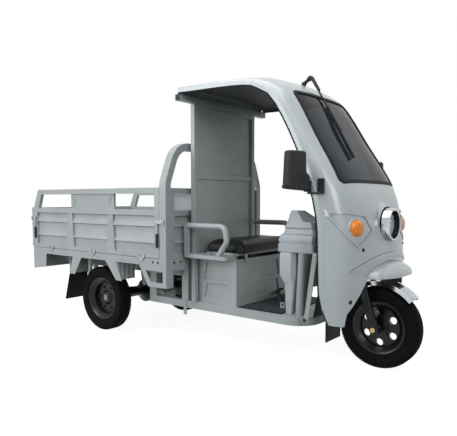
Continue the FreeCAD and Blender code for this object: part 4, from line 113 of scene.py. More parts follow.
# Where the cloud of a finish turns from one colour to the other, and how it changes the roughness
CLOUD_SPAN = (0.35, 0.65)
WEAR_SPAN = (0.9, 1.12)
BUMP_STRENGTH = 0.6
# Shares of the steel's edge rounding on other pieces
FINE_EDGE = 0.4
THIN_EDGE = 0.5
CAST_EDGE = 0.6
GASKET_EDGE = 0.75
MOULDED_EDGE = 2.0
RIM_EDGE = 1.2 * MM
BLOCK_EDGE = 0.8 * MM
MAT_EDGE = 1.5 * MM
TAIL_LAMP_EDGE = 3 * MM
# Limits of a face's direction: the mirror glass looks back, the visor's inside looks down and is darkened as
# painted shade
REARWARD = -0.8
DOWNWARD = -0.6
CAB_HEART = 0.45
# Half outline of a bolt to spin, as shares of its radius: out from its axis and up from its foot
BOLT_HEAD = ((0.0, 0.75), (0.6, 0.68), (0.92, 0.35), (1.0, 0.15), (1.35, 0.12), (1.35, -0.1), (0.0, -0.1))
# Bolts through the bed's corner, set back from its front and in from its side
RAIL_BOLT_SETS = (78 * MM, 128 * MM)
FACE_BOLT_SETS = (79 * MM, 140 * MM)
RAIL_BOLT_RADIUS = 6.5 * MM
BRACE_FOOT = 34 * MM
BRACE_BOLT_RADIUS = 8 * MM
# Plugs of the cowl: ahead, across and up, just outside its skin
COWL_PLUGS = ((1.36, 0.305, 0.731), (1.33, 0.395, 0.447))
PLUG_RADIUS = 8 * MM
SKIN_SINK = 2 * MM
# Heights of the black sleeve above the foot of a latch
LATCH_SLEEVE = (4 * MM, 97 * MM)
AXLE_NUT_REACH = 20 * MM
CHROME_BAND = 42 * MM
# Millimetres out from the headlight's rim and ahead of the foot of its chrome band
HEADLIGHT_SEAL = ((0.0, 0.0), (7.0, -2.1), (7.0, -8.4), (0.0, -9.8), (0.0, 0.0))
HEADLIGHT_BOSS = ((1.0, -8.4), (5.6, -8.4), (11.2, -15.4), (21.0, -32.9), (42.0, -64.4), (1.0, -64.4),
                  (1.0, -8.4))
# Shares of the radius of the eye or of a diode: out from its axis and up from the floor of the bowl
HEADLIGHT_COLLAR = ((1.0, 0.0), (1.25, 0.0), (1.2, 1.0), (1.0, 1.0), (1.0, 0.0))
HEADLIGHT_EYE = ((0.0, 0.0), (1.0, 0.0), (1.0, 0.8), (0.8, 1.15), (0.4, 1.35), (0.0, 1.4))
HEADLIGHT_DIODE = ((0.0, 0.0), (1.0, 0.0), (1.0, 1.0), (0.6, 1.7), (0.0, 1.9))
# Shares of the bezel's depth and of the lens's radius
BOWL_FLOOR = 0.16
EYE_SHARE = 0.34
DIODE_SHARE = 0.09
DIODE_CIRCLE = 0.66
DIODES = 6
# Millimetres out from the lens of a turn lamp and ahead of its seat
LAMP_RING = ((0.4, 3.0), (5.0, 4.0), (11.0, 1.0), (15.0, -9.0), (0.4, -9.0), (0.4, 3.0))
LAMP_TURN = math.radians(24)
LAMP_CREST = 20.8 * MM
# Width, height and thickness of the sticker
STICKER = (34 * MM, 42 * MM, 1.2 * MM)
STICKER_CORNER = STICKER[0] / 6
HUB_REACH = 45 * MM
# Rows of tread: place across the half width, drop below the crown, phase, width, lean and skew in degrees
TREAD_ROWS = ((0.2, 0.0, 0.0, 0.3, 0, 14), (-0.2, 0.0, 0.5, 0.3, 0, 14),
              (0.53, 0.0, 0.3, 0.2, 0, -14), (-0.53, 0.0, 0.8, 0.2, 0, -14),
              (0.74, 0.017, 0.2, 0.22, 36, -8), (-0.74, 0.017, 0.7, 0.22, -36, -8),
              (0.905, 0.054, 0.6, 0.17, 63, 0), (-0.905, 0.054, 0.1, 0.17, -63, 0))
TREAD_FILL = 0.72
COVER_CELL = 6 * MM
COVER_PRESSURE = 4.0
FILL_FRAMES = 20
WELT_HEIGHT_SHARE = 0.74
WELT_RADIUS = 2.5 * MM
MAT_SLANT = math.radians(38)
MAT_BAR = (6 * MM, 2 * MM)


def linear(code):
    """Turn an sRGB hex code into linear red, green and blue."""
    channels = [int(code[place:place + 2], 16) / 255 for place in (1, 3, 5)]
    return tuple(c / 12.92 if c <= 0.04045 else ((c + 0.055) / 1.055) ** 2.4 for c in channels)


# Sizes and colours that a user would change


class TricycleSizes(bpy.types.PropertyGroup):
    """Sizes of the dressing and of the view"""
    edge_round: FloatProperty(
        name="Edge Round", description="Rounding on the edges of folded and welded steel",
        default=2.0 * MM, min=0.0, unit="LENGTH")
    tread_pitches: IntProperty(
        name="Tread Pitches", description="Rows of tread blocks round each tyre", default=100, min=12)
    tread_depth: FloatProperty(
        name="Tread Depth", description="Height of a tread block over the tyre's crown",
        default=2.0 * MM, min=0.0, unit="LENGTH")
    mat_rib_pitch: FloatProperty(
        name="Mat Rib Pitch", description="Spacing of the raised bars of the floor mat",
        default=24.0 * MM, min=0.0, unit="LENGTH")
    cushion_swell: FloatProperty(
        name="Cushion Swell", description="Most that a point of the seat cover may move as it fills",
        default=7.0 * MM, min=0.0, unit="LENGTH")
    lens_length: FloatProperty(
        name="Lens Length", description="Focal length on a 36 mm wide sensor", default=40.49, min=1.0,
        subtype="DISTANCE_CAMERA")


class TricycleColours(bpy.types.PropertyGroup):
    """Colours of the finishes and of the stage"""
    body: FloatVectorProperty(
        name="Body", description="Glossy silver-grey of the moulded cab", subtype="COLOR", size=3,
        min=0.0, max=1.0, default=linear("#9da5a8"))
    steel: FloatVectorProperty(
        name="Steel", description="Satin silver-grey of the bed and the frame", subtype="COLOR", size=3,
        min=0.0, max=1.0, default=linear("#979e9f"))
    console: FloatVectorProperty(
        name="Console", description="Mid grey of the moulded console", subtype="COLOR", size=3,
        min=0.0, max=1.0, default=linear("#a1a9af"))
    amber: FloatVectorProperty(
        name="Amber", description="Colour of the turn lamps", subtype="COLOR", size=3,
        min=0.0, max=1.0, default=linear("#f58a06"))
    backdrop: FloatVectorProperty(
        name="Backdrop", description="Colour of the floor and the background", subtype="COLOR", size=3,
        min=0.0, max=1.0, default=linear("#ffffff"))


# Materials


def add_node(tree, kind, settings=None, links=None):
    """Add a node, set its properties and sockets, and link its inputs."""
    node = tree.nodes.new(kind)
    for name, value in (settings or {}).items():
        if name in node.inputs.keys():
            node.inputs[name].default_value = value
        else:
            setattr(node, name, value)
    for name, source in (links or {}).items():
        tree.links.new(source, node.inputs[name])
    return node


def finish(name, tone, sockets, patch=None, grain=None, cells=None):
    """Make one material.

    tone is a linear colour, or two that a soft cloud of patch millimetres mixes.
    grain is the size and depth in millimetres of a noise bump, cells that of a pebbled bump.
    """
    material = bpy.data.materials.new(name)
    material.use_nodes = True
    tree = material.node_tree
    shader = tree.nodes["Principled BSDF"]
    for socket, value in sockets.items():
        shader.inputs[socket].default_value = value
    place = add_node(tree, "ShaderNodeTexCoord")
    if patch:
        cloud = add_node(tree, "ShaderNodeTexNoise", {"Scale": 1.0 / (patch * MM), "Detail": 4.0},
                         {"Vector": place.outputs["Object"]})
        ramp = add_node(tree, "ShaderNodeValToRGB", None, {"Fac": cloud.outputs["Fac"]})
        for stop, position, colour in zip(ramp.color_ramp.elements, CLOUD_SPAN, tone):
            stop.position = position
            stop.color = colour + (1.0,)
        tree.links.new(ramp.outputs["Color"], shader.inputs["Base Color"])
        rough = sockets.get("Roughness", 0.5)
        worn = add_node(tree, "ShaderNodeMapRange",
                        {"To Min": rough * WEAR_SPAN[0], "To Max": rough * WEAR_SPAN[1]},
                        {"Value": cloud.outputs["Fac"]})
        tree.links.new(worn.outputs["Result"], shader.inputs["Roughness"])
    else:
        shader.inputs["Base Color"].default_value = tone + (1.0,)
    height = None
    if grain:
        height = add_node(tree, "ShaderNodeTexNoise", {"Scale": 1.0 / (grain[0] * MM), "Detail": 2.0},
                          {"Vector": place.outputs["Object"]}).outputs["Fac"]
    if cells:
        height = add_node(tree, "ShaderNodeTexVoronoi", {"Scale": 1.0 / (cells[0] * MM)},
                          {"Vector": place.outputs["Object"]}).outputs["Distance"]
    if height:
        depth = (grain or cells)[1]
        bump = add_node(tree, "ShaderNodeBump", {"Strength": BUMP_STRENGTH, "Distance": depth * MM},
                        {"Height": height})
        tree.links.new(bump.outputs["Normal"], shader.inputs["Normal"])
    return material


def shaded(tone, share):
    """A colour darkened or lightened by a share."""
    return tuple(min(1.0, channel * share) for channel in tone)


class TricycleFinishes(bpy.types.Operator):
    """Make the materials of the tricycle"""
    bl_idname = "tricycle.finishes"
    bl_label = "Finishes"

    def execute(self, context):
        colours = context.scene.tricycle_colours
        body = tuple(colours.body)
        steel = tuple(colours.steel)
        console = tuple(colours.console)
        # Two-pack paint over moulded ABS: a deep, nearly even gloss
        finish("gloss_paint_on_abs", (shaded(body, 0.97), shaded(body, 1.03)),
               {"Metallic": 0.05, "Roughness": 0.35, "Coat Weight": 0.35, "Coat Roughness": 0.05},
               patch=180)
        # Powder coat baked on pressed steel: satin, with a faint orange peel
        finish("powder_coat_on_steel", (shaded(steel, 0.95), shaded(steel, 1.04)),
               {"Metallic": 0.05, "Roughness": 0.45, "Coat Weight": 0.1, "Coat Roughness": 0.25},
               patch=120, grain=(3.0, 0.05))
        # The same coat on the floor of the bed, where loads and dust dull it
        finish("powder_coat_dusty", (shaded(steel, 0.78), shaded(steel, 0.95)),
               {"Metallic": 0.1, "Roughness": 0.6}, patch=60, grain=(3.0, 0.08))
        # Moulded ABS with a spark-eroded grain: soft broad highlights
        finish("grained_abs", (shaded(console, 0.94), shaded(console, 1.05)),
               {"Roughness": 0.42, "IOR": 1.52}, patch=90, grain=(1.6, 0.04))
        # Moulded polypropylene, black: low sheen, a little greyer in patches
        finish("black_polypropylene", (linear("#17191b"), linear("#212327")),
               {"Roughness": 0.5, "Specular IOR Level": 0.25}, patch=40, grain=(1.2, 0.04))
        # Vulcanised tyre rubber: very dark and dry, a faint bloom in patches
        finish("vulcanised_rubber", (linear("#08080a"), linear("#121214")),
               {"Roughness": 0.8, "Specular IOR Level": 0.08}, patch=35, grain=(2.0, 0.12))
        # Extruded EPDM: even matt black
        finish("epdm_rubber", (linear("#0c0d0e"), linear("#151618")),
               {"Roughness": 0.6, "Specular IOR Level": 0.15}, patch=50, grain=(1.5, 0.05))
        # The same rubber where boots rub it: greyer and a little shiny
        finish("worn_epdm_rubber", (linear("#3a3e42"), linear("#54595d")),
               {"Roughness": 0.5, "Specular IOR Level": 0.25}, patch=30, grain=(1.5, 0.05))
        # Black enamel on pressed wheels and fork: wet-looking gloss
        finish("black_enamel", (linear("#08090a"), linear("#101113")),
               {"Roughness": 0.3, "Specular IOR Level": 0.2, "Coat Weight": 0.12, "Coat Roughness": 0.08},
               patch=60, grain=(4.0, 0.04))
        # Bright nickel-chrome plate: a mirror with a trace of haze
        finish("chrome_plate", (linear("#aeb3b8"), linear("#c4c8cb")),
               {"Metallic": 1.0, "Roughness": 0.1}, patch=80)
        # Zinc-plated steel: pale, broken-up sheen
        finish("zinc_plated_steel", (linear("#8d9295"), linear("#aab0b3")),
               {"Metallic": 0.9, "Roughness": 0.35}, patch=14, grain=(1.0, 0.03))
        # Yellow-passivated zinc: the gold look of brake arms and axle nuts
        finish("yellow_zinc", (linear("#a98b4d"), linear("#cdb779")),
               {"Metallic": 0.9, "Roughness": 0.35}, patch=12, grain=(1.0, 0.03))
        # Sand-cast aluminium: grey, rough skin
        finish("cast_aluminium", (linear("#7c7f82"), linear("#989b9d")),
               {"Metallic": 0.8, "Roughness": 0.5}, patch=25, grain=(1.4, 0.15))
        # Laminated glass: clear with a light tint, darkened far past it as painted shade for the dark view
        # seen through it
        finish("laminated_glass_painted_dark", linear("#20282f"),
               {"Roughness": 0.0, "Transmission Weight": 1.0, "IOR": 1.18})
        # Clear polycarbonate lamp cover
        finish("clear_polycarbonate", linear("#f4f7f8"),
               {"Roughness": 0.02, "Transmission Weight": 1.0, "IOR": 1.3})
        # Amber acrylic: pebbled, deeper in patches
        finish("amber_acrylic", (shaded(tuple(colours.amber), 0.6), tuple(colours.amber)),
               {"Roughness": 0.2, "Specular IOR Level": 0.3, "Coat Weight": 0.2},
               patch=12, cells=(11.0, 2.5))
        # Red acrylic of the tail lamps
        finish("red_acrylic", (linear("#7d0c0c"), linear("#b01414")),
               {"Roughness": 0.15, "IOR": 1.49, "Transmission Weight": 0.2, "Coat Weight": 0.5},
               patch=18, cells=(9.0, 0.8))
        # Silvered mirror glass
        finish("silvered_glass", linear("#dfe4e6"), {"Metallic": 1.0, "Roughness": 0.03})
        # Vinyl leathercloth: black with a pebbled grain and a soft sheen
        finish("vinyl_leathercloth", (linear("#0c0d0f"), linear("#141518")),
               {"Roughness": 0.42, "Specular IOR Level": 0.15}, patch=70, cells=(3.2, 0.35))
        # Bare moulded ABS on the inside of the cab: dark grey and dull; on the visor's downward faces the
        # same grey is painted shade
        finish("bare_abs_and_painted_shade", (linear("#55595b"), linear("#64686a")),
               {"Roughness": 0.65, "Specular IOR Level": 0.2}, patch=80, grain=(2.5, 0.08))
        # Frosted polycarbonate over the diodes: white with a soft sheen
        finish("frosted_polycarbonate", (linear("#cfd5da"), linear("#f2f5f7")),
               {"Roughness": 0.35, "Coat Weight": 0.5}, patch=8, cells=(5.0, 0.8))
        # Printed vinyl of a blank sticker: pale grey, slightly shiny
        finish("sticker_vinyl", (linear("#737b86"), linear("#848c96")), {"Roughness": 0.35}, patch=15)
        # Moulded case of the batteries
        finish("battery_polypropylene", (linear("#17181a"), linear("#222326")),
               {"Roughness": 0.55}, patch=60, grain=(1.5, 0.05))
        return {"FINISHED"}


# Helpers that build and place the pieces


def wear(piece, material, body, nodes=()):
    """Give a piece its material, its body and the nodes it stands for."""
    piece.data.materials.clear()
    piece.data.materials.append(bpy.data.materials[material])
    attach(piece, body)
    if nodes:
        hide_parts(*nodes)


def body_of(node):
    """The body that a CAD node rides on."""
    return frame["nodes"][node]["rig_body"]


def merged_copy(node, flat=True):
    """A bmesh of a CAD node with its loose triangles joined up."""
    bm = bmesh.new()
    bm.from_mesh(frame["nodes"][node].data)
    bmesh.ops.remove_doubles(bm, verts=bm.verts, dist=MERGE_GAP)
    if flat:
        bmesh.ops.dissolve_limit(bm, angle_limit=FLAT_TURN, use_dissolve_boundaries=False,
                                 verts=bm.verts, edges=bm.edges, delimit=set())
    return bm


def object_from(bm, name, smooth=35.0, outward=False):
    """Turn a bmesh into an object at the origin, shaded smooth up to an angle."""
    if outward:
        bmesh.ops.remove_doubles(bm, verts=bm.verts, dist=MERGE_GAP)
        bmesh.ops.recalc_face_normals(bm, faces=bm.faces)
    mesh = bpy.data.meshes.new(name)
    bm.to_mesh(mesh)
    bm.free()
    for layer in ("custom_normal", "sharp_face", "sharp_edge"):
        if layer in mesh.attributes:
            mesh.attributes.remove(mesh.attributes[layer])
    mesh.polygons.foreach_set("use_smooth", [True] * len(mesh.polygons))
    mesh.set_sharp_from_angle(angle=math.radians(smooth))
    piece = bpy.data.objects.new(name, mesh)
    bpy.context.collection.objects.link(piece)
    return piece


def round_edges(piece, width, segments=2, angle=40.0):
    """Round a piece's hard edges so that they catch the light."""
    bevel = piece.modifiers.new("edges", "BEVEL")
    bevel.limit_method = "ANGLE"
    bevel.angle_limit = math.radians(angle)
    bevel.width = width
    bevel.segments = segments
    bevel.use_clamp_overlap = True
    bevel.harden_normals = True


def dress(node, material, edge=0.0, segments=2, smooth=35.0, flat=True):
    """Stand a merged, rounded and painted copy in for a CAD node."""
    piece = object_from(merged_copy(node, flat), node + "_finished", smooth)
    if edge > 0.0:
        round_edges(piece, edge, segments)
    wear(piece, material, body_of(node), [node])
    return piece


def corners(node):
    """The low and the high corner of a CAD node's box."""
    return tuple(Vector(corner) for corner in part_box(node))


def paint_faces(piece, material, test):
    """Give the faces that pass a test another material."""
    piece.data.materials.append(bpy.data.materials[material])
    index = len(piece.data.materials) - 1
    for face in piece.data.polygons:
        if test(face):
            face.material_index = index


def facing(axis):
    """A turn that takes +Z to an axis."""
    return Vector(axis).to_track_quat("Z", "Y").to_matrix().to_4x4()


def lathe(bm, profile, place, steps=48):
    """Spin a profile of (radius, height) pairs round the local Z axis, then put it in place."""
    verts = [bm.verts.new((radius, 0, height)) for radius, height in profile]
    edges = [bm.edges.new(pair) for pair in zip(verts, verts[1:])]
    bmesh.ops.spin(bm, geom=verts + edges, cent=(0, 0, 0), axis=(0, 0, 1), angle=math.tau,
                   steps=steps, use_merge=True)
    fresh = {vert for vert in bm.verts if not vert.tag}
    bmesh.ops.transform(bm, matrix=place, verts=list(fresh))
    for vert in fresh:
        vert.tag = True


def turned(name, parts, material, body, steps=48, smooth=40.0):
    """One piece made of spun parts, each a profile, a foot point and an axis."""
    bm = bmesh.new()
    for profile, spot, axis in parts:
        lathe(bm, profile, Matrix.Translation(spot) @ facing(axis), steps)
    piece = object_from(bm, name, smooth, outward=True)
    wear(piece, material, body)
    return piece


def cut_away(bm, point, normal):
    """Take off what lies beyond a plane, and close the cut."""
    cut = bmesh.ops.bisect_plane(bm, geom=bm.verts[:] + bm.edges[:] + bm.faces[:], plane_co=point,
                                 plane_no=normal, clear_outer=True)
    rim = [item for item in cut["geom_cut"] if isinstance(item, bmesh.types.BMEdge)]
    bmesh.ops.holes_fill(bm, edges=rim, sides=0)


def cab_skin():
    """The cab's moulded shell, ready to be searched."""
    bm = merged_copy("cab_shell", flat=False)
    skin = BVHTree.FromBMesh(bm)
    bm.free()
    return skin


def seat_on_skin(piece, skin):
    """Pull forward what would show behind the cab's skin, so that a trim ends inside its wall."""
    for vert in piece.data.vertices:
        hit = skin.ray_cast(Vector((cad_high[0], vert.co.y, vert.co.z)), Vector((-1, 0, 0)))[0]
        if hit and vert.co.x < hit.x - SKIN_SINK:
            vert.co.x = hit.x - SKIN_SINK


def outline(points, unit, radius=0.0, height=0.0):
    """A profile to spin, from points counted in a unit out from a radius and up from a height."""
    return [(radius + out * unit, height + up * unit) for out, up in points]


# Pieces


class TricycleSteelwork(bpy.types.Operator):
    """Paint the chassis, the bed and the cab's steel, with folded edges rounded"""
    bl_idname = "tricycle.steelwork"
    bl_label = "Steelwork"

    def execute(self, context):
        edge = context.scene.tricycle_sizes.edge_round
        for node in ("front_wall", "front_hoop", "tailgate", "wheel_brackets", "cab_wall", "seat_box",
                     "arm_rests", "seat_pan", "chassis_frame", "cab_floor", "cab_braces"):
            dress(node, "powder_coat_on_steel", edge)
        # The ends of the roof beam are closed by black plugs
        beam = dress("roof_beam", "powder_coat_on_steel", edge)
        tip = corners("roof_beam")[1].y - MM
        paint_faces(beam, "black_polypropylene", lambda face: abs(face.center.y) > tip)
        # The hinges stand proud of the bed's sides and are plated
        side = corners("wheel_brackets")[1].y + MM
        for node in ("bed_frame", "side_gate_right", "side_gate_left"):
            piece = dress(node, "powder_coat_on_steel", edge)
            paint_faces(piece, "zinc_plated_steel", lambda face: abs(face.center.y) > side)
        dress("bed_floor", "powder_coat_dusty", edge * THIN_EDGE)
        return {"FINISHED"}


class TricycleBolts(bpy.types.Operator):
    """Set the bolts of the bed, the bolts of the braces and the plugs of the cab"""
    bl_idname = "tricycle.bolts"
    bl_label = "Bolts"

    def execute(self, context):
        rail_high = corners("wheel_brackets")[1]
        level = (rail_high.z + corners("bed_floor")[1].z) / 2
        head = outline(BOLT_HEAD, RAIL_BOLT_RADIUS)
        bolts = []
        for side in SIDES:
            for back in RAIL_BOLT_SETS:
                spot = Vector((rail_high.x - back, side * rail_high.y, level))
                bolts.append((head, spot, (0, side, 0)))
            for inward in FACE_BOLT_SETS:
                spot = Vector((rail_high.x, side * (rail_high.y - inward), level))
                bolts.append((head, spot, AHEAD))
        turned("bed_bolts", bolts, "black_enamel", body_of("bed_frame"),
               steps=16)
        self.brace_bolts()
        self.cab_plugs()
        return {"FINISHED"}

    def brace_bolts(self):
        """A bolt through the foot of each brace, on its outer face."""
        mesh = frame["nodes"]["cab_braces"].data
        low = corners("cab_braces")[0]
        foot = [vert.co for vert in mesh.vertices if vert.co.z < low.z + BRACE_FOOT]
        reach = max(abs(spot.y) for spot in foot)
        outer = [spot for spot in foot if abs(spot.y) > reach - MM]
        along = sum(spot.x for spot in outer) / len(outer)
        head = outline(BOLT_HEAD, BRACE_BOLT_RADIUS)
        level = low.z + BRACE_FOOT / 2
        bolts = [(head, Vector((along, side * reach, level)), (0, side, 0)) for side in SIDES]
        turned("brace_bolts", bolts, "black_enamel", body_of("cab_braces"),
               steps=16)

    def cab_plugs(self):
        """Push-in plugs on the cowl, seated square to its skin."""
        skin = cab_skin()
        head = outline(BOLT_HEAD, PLUG_RADIUS)
        plugs = []
        for ahead, across, up in COWL_PLUGS:
            for side in SIDES:
                seat, normal, _, _ = skin.find_nearest(Vector((ahead, side * across, up)))
                plugs.append((head, seat, normal))
        turned("cab_plugs", plugs, "epdm_rubber", body_of("cab_shell"),
               steps=16)


class TricycleHardware(bpy.types.Operator):
    """Finish the latches, the running gear, the mirrors and the other fittings"""
    bl_idname = "tricycle.hardware"
    bl_label = "Hardware"

    def execute(self, context):
        edge = context.scene.tricycle_sizes.edge_round
        for node in ("latch_front_right", "latch_front_left", "latch_rear_right", "latch_rear_left"):
            latch = dress(node, "zinc_plated_steel", edge * FINE_EDGE)
            foot = corners(node)[0].z
            paint_faces(latch, "black_polypropylene",
                        lambda face: LATCH_SLEEVE[0] < face.center.z - foot < LATCH_SLEEVE[1])
        dress("seat_hasp", "zinc_plated_steel", edge * FINE_EDGE)
        self.springs()
        for node in ("rear_axle", "steering_head", "steering_yoke", "fork_sliders",
                     "steering_stem", "handlebar", "brake_pedal"):
            dress(node, "black_enamel", edge * THIN_EDGE)
        self.front_axle(edge)
        dress("drive_motor", "cast_aluminium", edge * CAST_EDGE)
        for node in ("brake_lever_right", "brake_lever_left", "mirror_mounts", "wiper_arm"):
            dress(node, "black_polypropylene", edge * THIN_EDGE)
        for node in ("mirror_right", "mirror_left"):
            self.mirror(node, edge)
        for node in ("throttle_grip", "rear_flaps", "inner_guard"):
            dress(node, "epdm_rubber", edge * THIN_EDGE)
        dress("battery_pack", "battery_polypropylene", edge * MOULDED_EDGE)
        dress("front_mudguard", "chrome_plate")
        return {"FINISHED"}

    def front_axle(self, edge):
        """Black axle and brake plate, with the nuts passivated yellow."""
        low, high = corners("front_tyre")
        hub = (low + high) / 2
        axle = dress("front_axle", "black_enamel", edge * FINE_EDGE)
        spread = [math.hypot(vert.co.x - hub.x, vert.co.z - hub.z) for vert in axle.data.vertices]
        paint_faces(axle, "yellow_zinc",
                    lambda face: max(spread[index] for index in face.vertices) < AXLE_NUT_REACH)

    def mirror(self, node, edge):
        """A black housing whose largest rearward face is silvered."""
        housing = dress(node, "black_polypropylene", edge * THIN_EDGE)
        rearward = [face for face in housing.data.polygons if face.normal.x < REARWARD]
        glass = max(rearward, key=lambda face: face.area).center.copy()
        paint_faces(housing, "silvered_glass", lambda face: (face.center - glass).length < MM)

    def springs(self):
        """The leaf springs in two halves, cut apart at the axle."""
        node = "leaf_springs"
        low, high = corners(node)
        axle = sum(corners("rear_tyre_right"), Vector()) / 2
        for name, eye, ahead in (("leaf_springs_front", high.x, 1), ("leaf_springs_rear", low.x, -1)):
            bm = merged_copy(node)
            cut_away(bm, axle, (-ahead, 0, 0))
            half = object_from(bm, name)
            half.data.materials.append(bpy.data.materials["black_enamel"])
            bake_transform(half)
            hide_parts(node)


class TricycleCab(bpy.types.Operator):
    """Finish the moulded cab, its trim, its windscreen and its console"""
    bl_idname = "tricycle.cab"
    bl_label = "Cab"

    def execute(self, context):
        edge = context.scene.tricycle_sizes.edge_round
        shell = dress("cab_shell", "gloss_paint_on_abs", smooth=38.0, flat=False)
        low, high = corners("cab_shell")
        heart = low.lerp(high, CAB_HEART)
        heart.y = 0.0
        # What faces the middle of the cab is bare
        paint_faces(shell, "bare_abs_and_painted_shade", lambda face: face.normal.dot(face.center - heart) < 0.0)
        visor = dress("nose_visor", "gloss_paint_on_abs", smooth=38.0, flat=False)
        # Painted shade: the visor's downward faces are darkened to the bare grey
        paint_faces(visor, "bare_abs_and_painted_shade", lambda face: face.normal.z < DOWNWARD)
        dress("shell_trim", "epdm_rubber", smooth=60.0)
        dress("windscreen_gasket", "epdm_rubber", edge * GASKET_EDGE)
        # The windscreen's dark tint is painted shade for what is seen through it
        dress("windscreen_glass", "laminated_glass_painted_dark")
        dress("dash_console", "grained_abs", edge * MOULDED_EDGE, segments=3)
        return {"FINISHED"}


class TricycleLamps(bpy.types.Operator):
    """Finish the headlight, the turn lamps and the tail lamps"""
    bl_idname = "tricycle.lamps"
    bl_label = "Lamps"

    def execute(self, context):
        self.headlight()
        dress("turn_lamps", "amber_acrylic", smooth=50.0)
        self.turn_lamp_rings()
        dress("tail_lamps", "red_acrylic", TAIL_LAMP_EDGE)
        return {"FINISHED"}

    def headlight(self):
        """Chrome ring that is dark inside, its clear lens, and what stands round and behind them."""
        low, high = corners("headlight_bezel")
        lens_low, lens_high = corners("headlight_lens")
        hub = (low + high) / 2
        rim = (high.z - low.z) / 2
        bowl = (lens_high.z - lens_low.z) / 2
        ring = dress("headlight_bezel", "chrome_plate", smooth=50.0)
        paint_faces(ring, "black_polypropylene",
                    lambda face: math.hypot(face.center.y, face.center.z - hub.z) < bowl + MM
                    and face.center.x < high.x - MM)
        dress("headlight_lens", "clear_polycarbonate", smooth=50.0)
        foot = Vector((0, hub.y, hub.z))
        self.headlight_mounting(foot, rim, high.x - CHROME_BAND)
        self.headlight_inside(foot, bowl, low.x + BOWL_FLOOR * (high.x - low.x))

    def headlight_mounting(self, foot, rim, seat):
        """A rubber seal round the ring, and a moulded boss that leads it into the cowl."""
        body = body_of("headlight_bezel")
        seal = outline(HEADLIGHT_SEAL, MM, rim, seat)
        turned("headlight_seal", [(seal, foot, AHEAD)], "epdm_rubber", body,
               steps=72)
        boss = outline(HEADLIGHT_BOSS, MM, rim, seat)
        fairing = turned("headlight_boss", [(boss, foot, AHEAD)], "gloss_paint_on_abs", body,
                         steps=72)
        seat_on_skin(fairing, cab_skin())

    def headlight_inside(self, foot, bowl, base):
        """A frosted eye in a bright collar, with a circle of diodes round it."""
        body = body_of("headlight_bezel")
        eye = bowl * EYE_SHARE
        collar = outline(HEADLIGHT_COLLAR, eye, height=base)
        turned("headlight_collar", [(collar, foot, AHEAD)], "chrome_plate", body)
        domes = [(outline(HEADLIGHT_EYE, eye, height=base), foot, AHEAD)]
        diode = outline(HEADLIGHT_DIODE, bowl * DIODE_SHARE, height=base)
        for turn in range(DIODES):
            angle = math.tau * (turn + 0.5) / DIODES
            out = Vector((0, math.cos(angle), math.sin(angle))) * (bowl * DIODE_CIRCLE)
            domes.append((diode, foot + out, AHEAD))
        turned("headlight_diodes", domes, "frosted_polycarbonate", body,
               steps=32)

    def turn_lamp_rings(self):
        """A pale moulded ring round each amber lens."""
        verts = [vert.co for vert in frame["nodes"]["turn_lamps"].data.vertices]
        low, high = corners("turn_lamps")
        ring = outline(LAMP_RING, MM, (high.z - low.z) / 2)
        rings = []
        for side in SIDES:
            lamp = [spot for spot in verts if spot.y * side > 0]
            axis = Vector((math.cos(LAMP_TURN), side * math.sin(LAMP_TURN), 0))
            mean = sum(lamp, Vector()) / len(lamp)
            crest = max(spot.dot(axis) for spot in lamp)
            seat = mean + axis * (crest - LAMP_CREST - mean.dot(axis))
            rings.append((ring, seat, axis))
        trim = turned("turn_lamp_rings", rings, "gloss_paint_on_abs", body_of("turn_lamps"))
        seat_on_skin(trim, cab_skin())


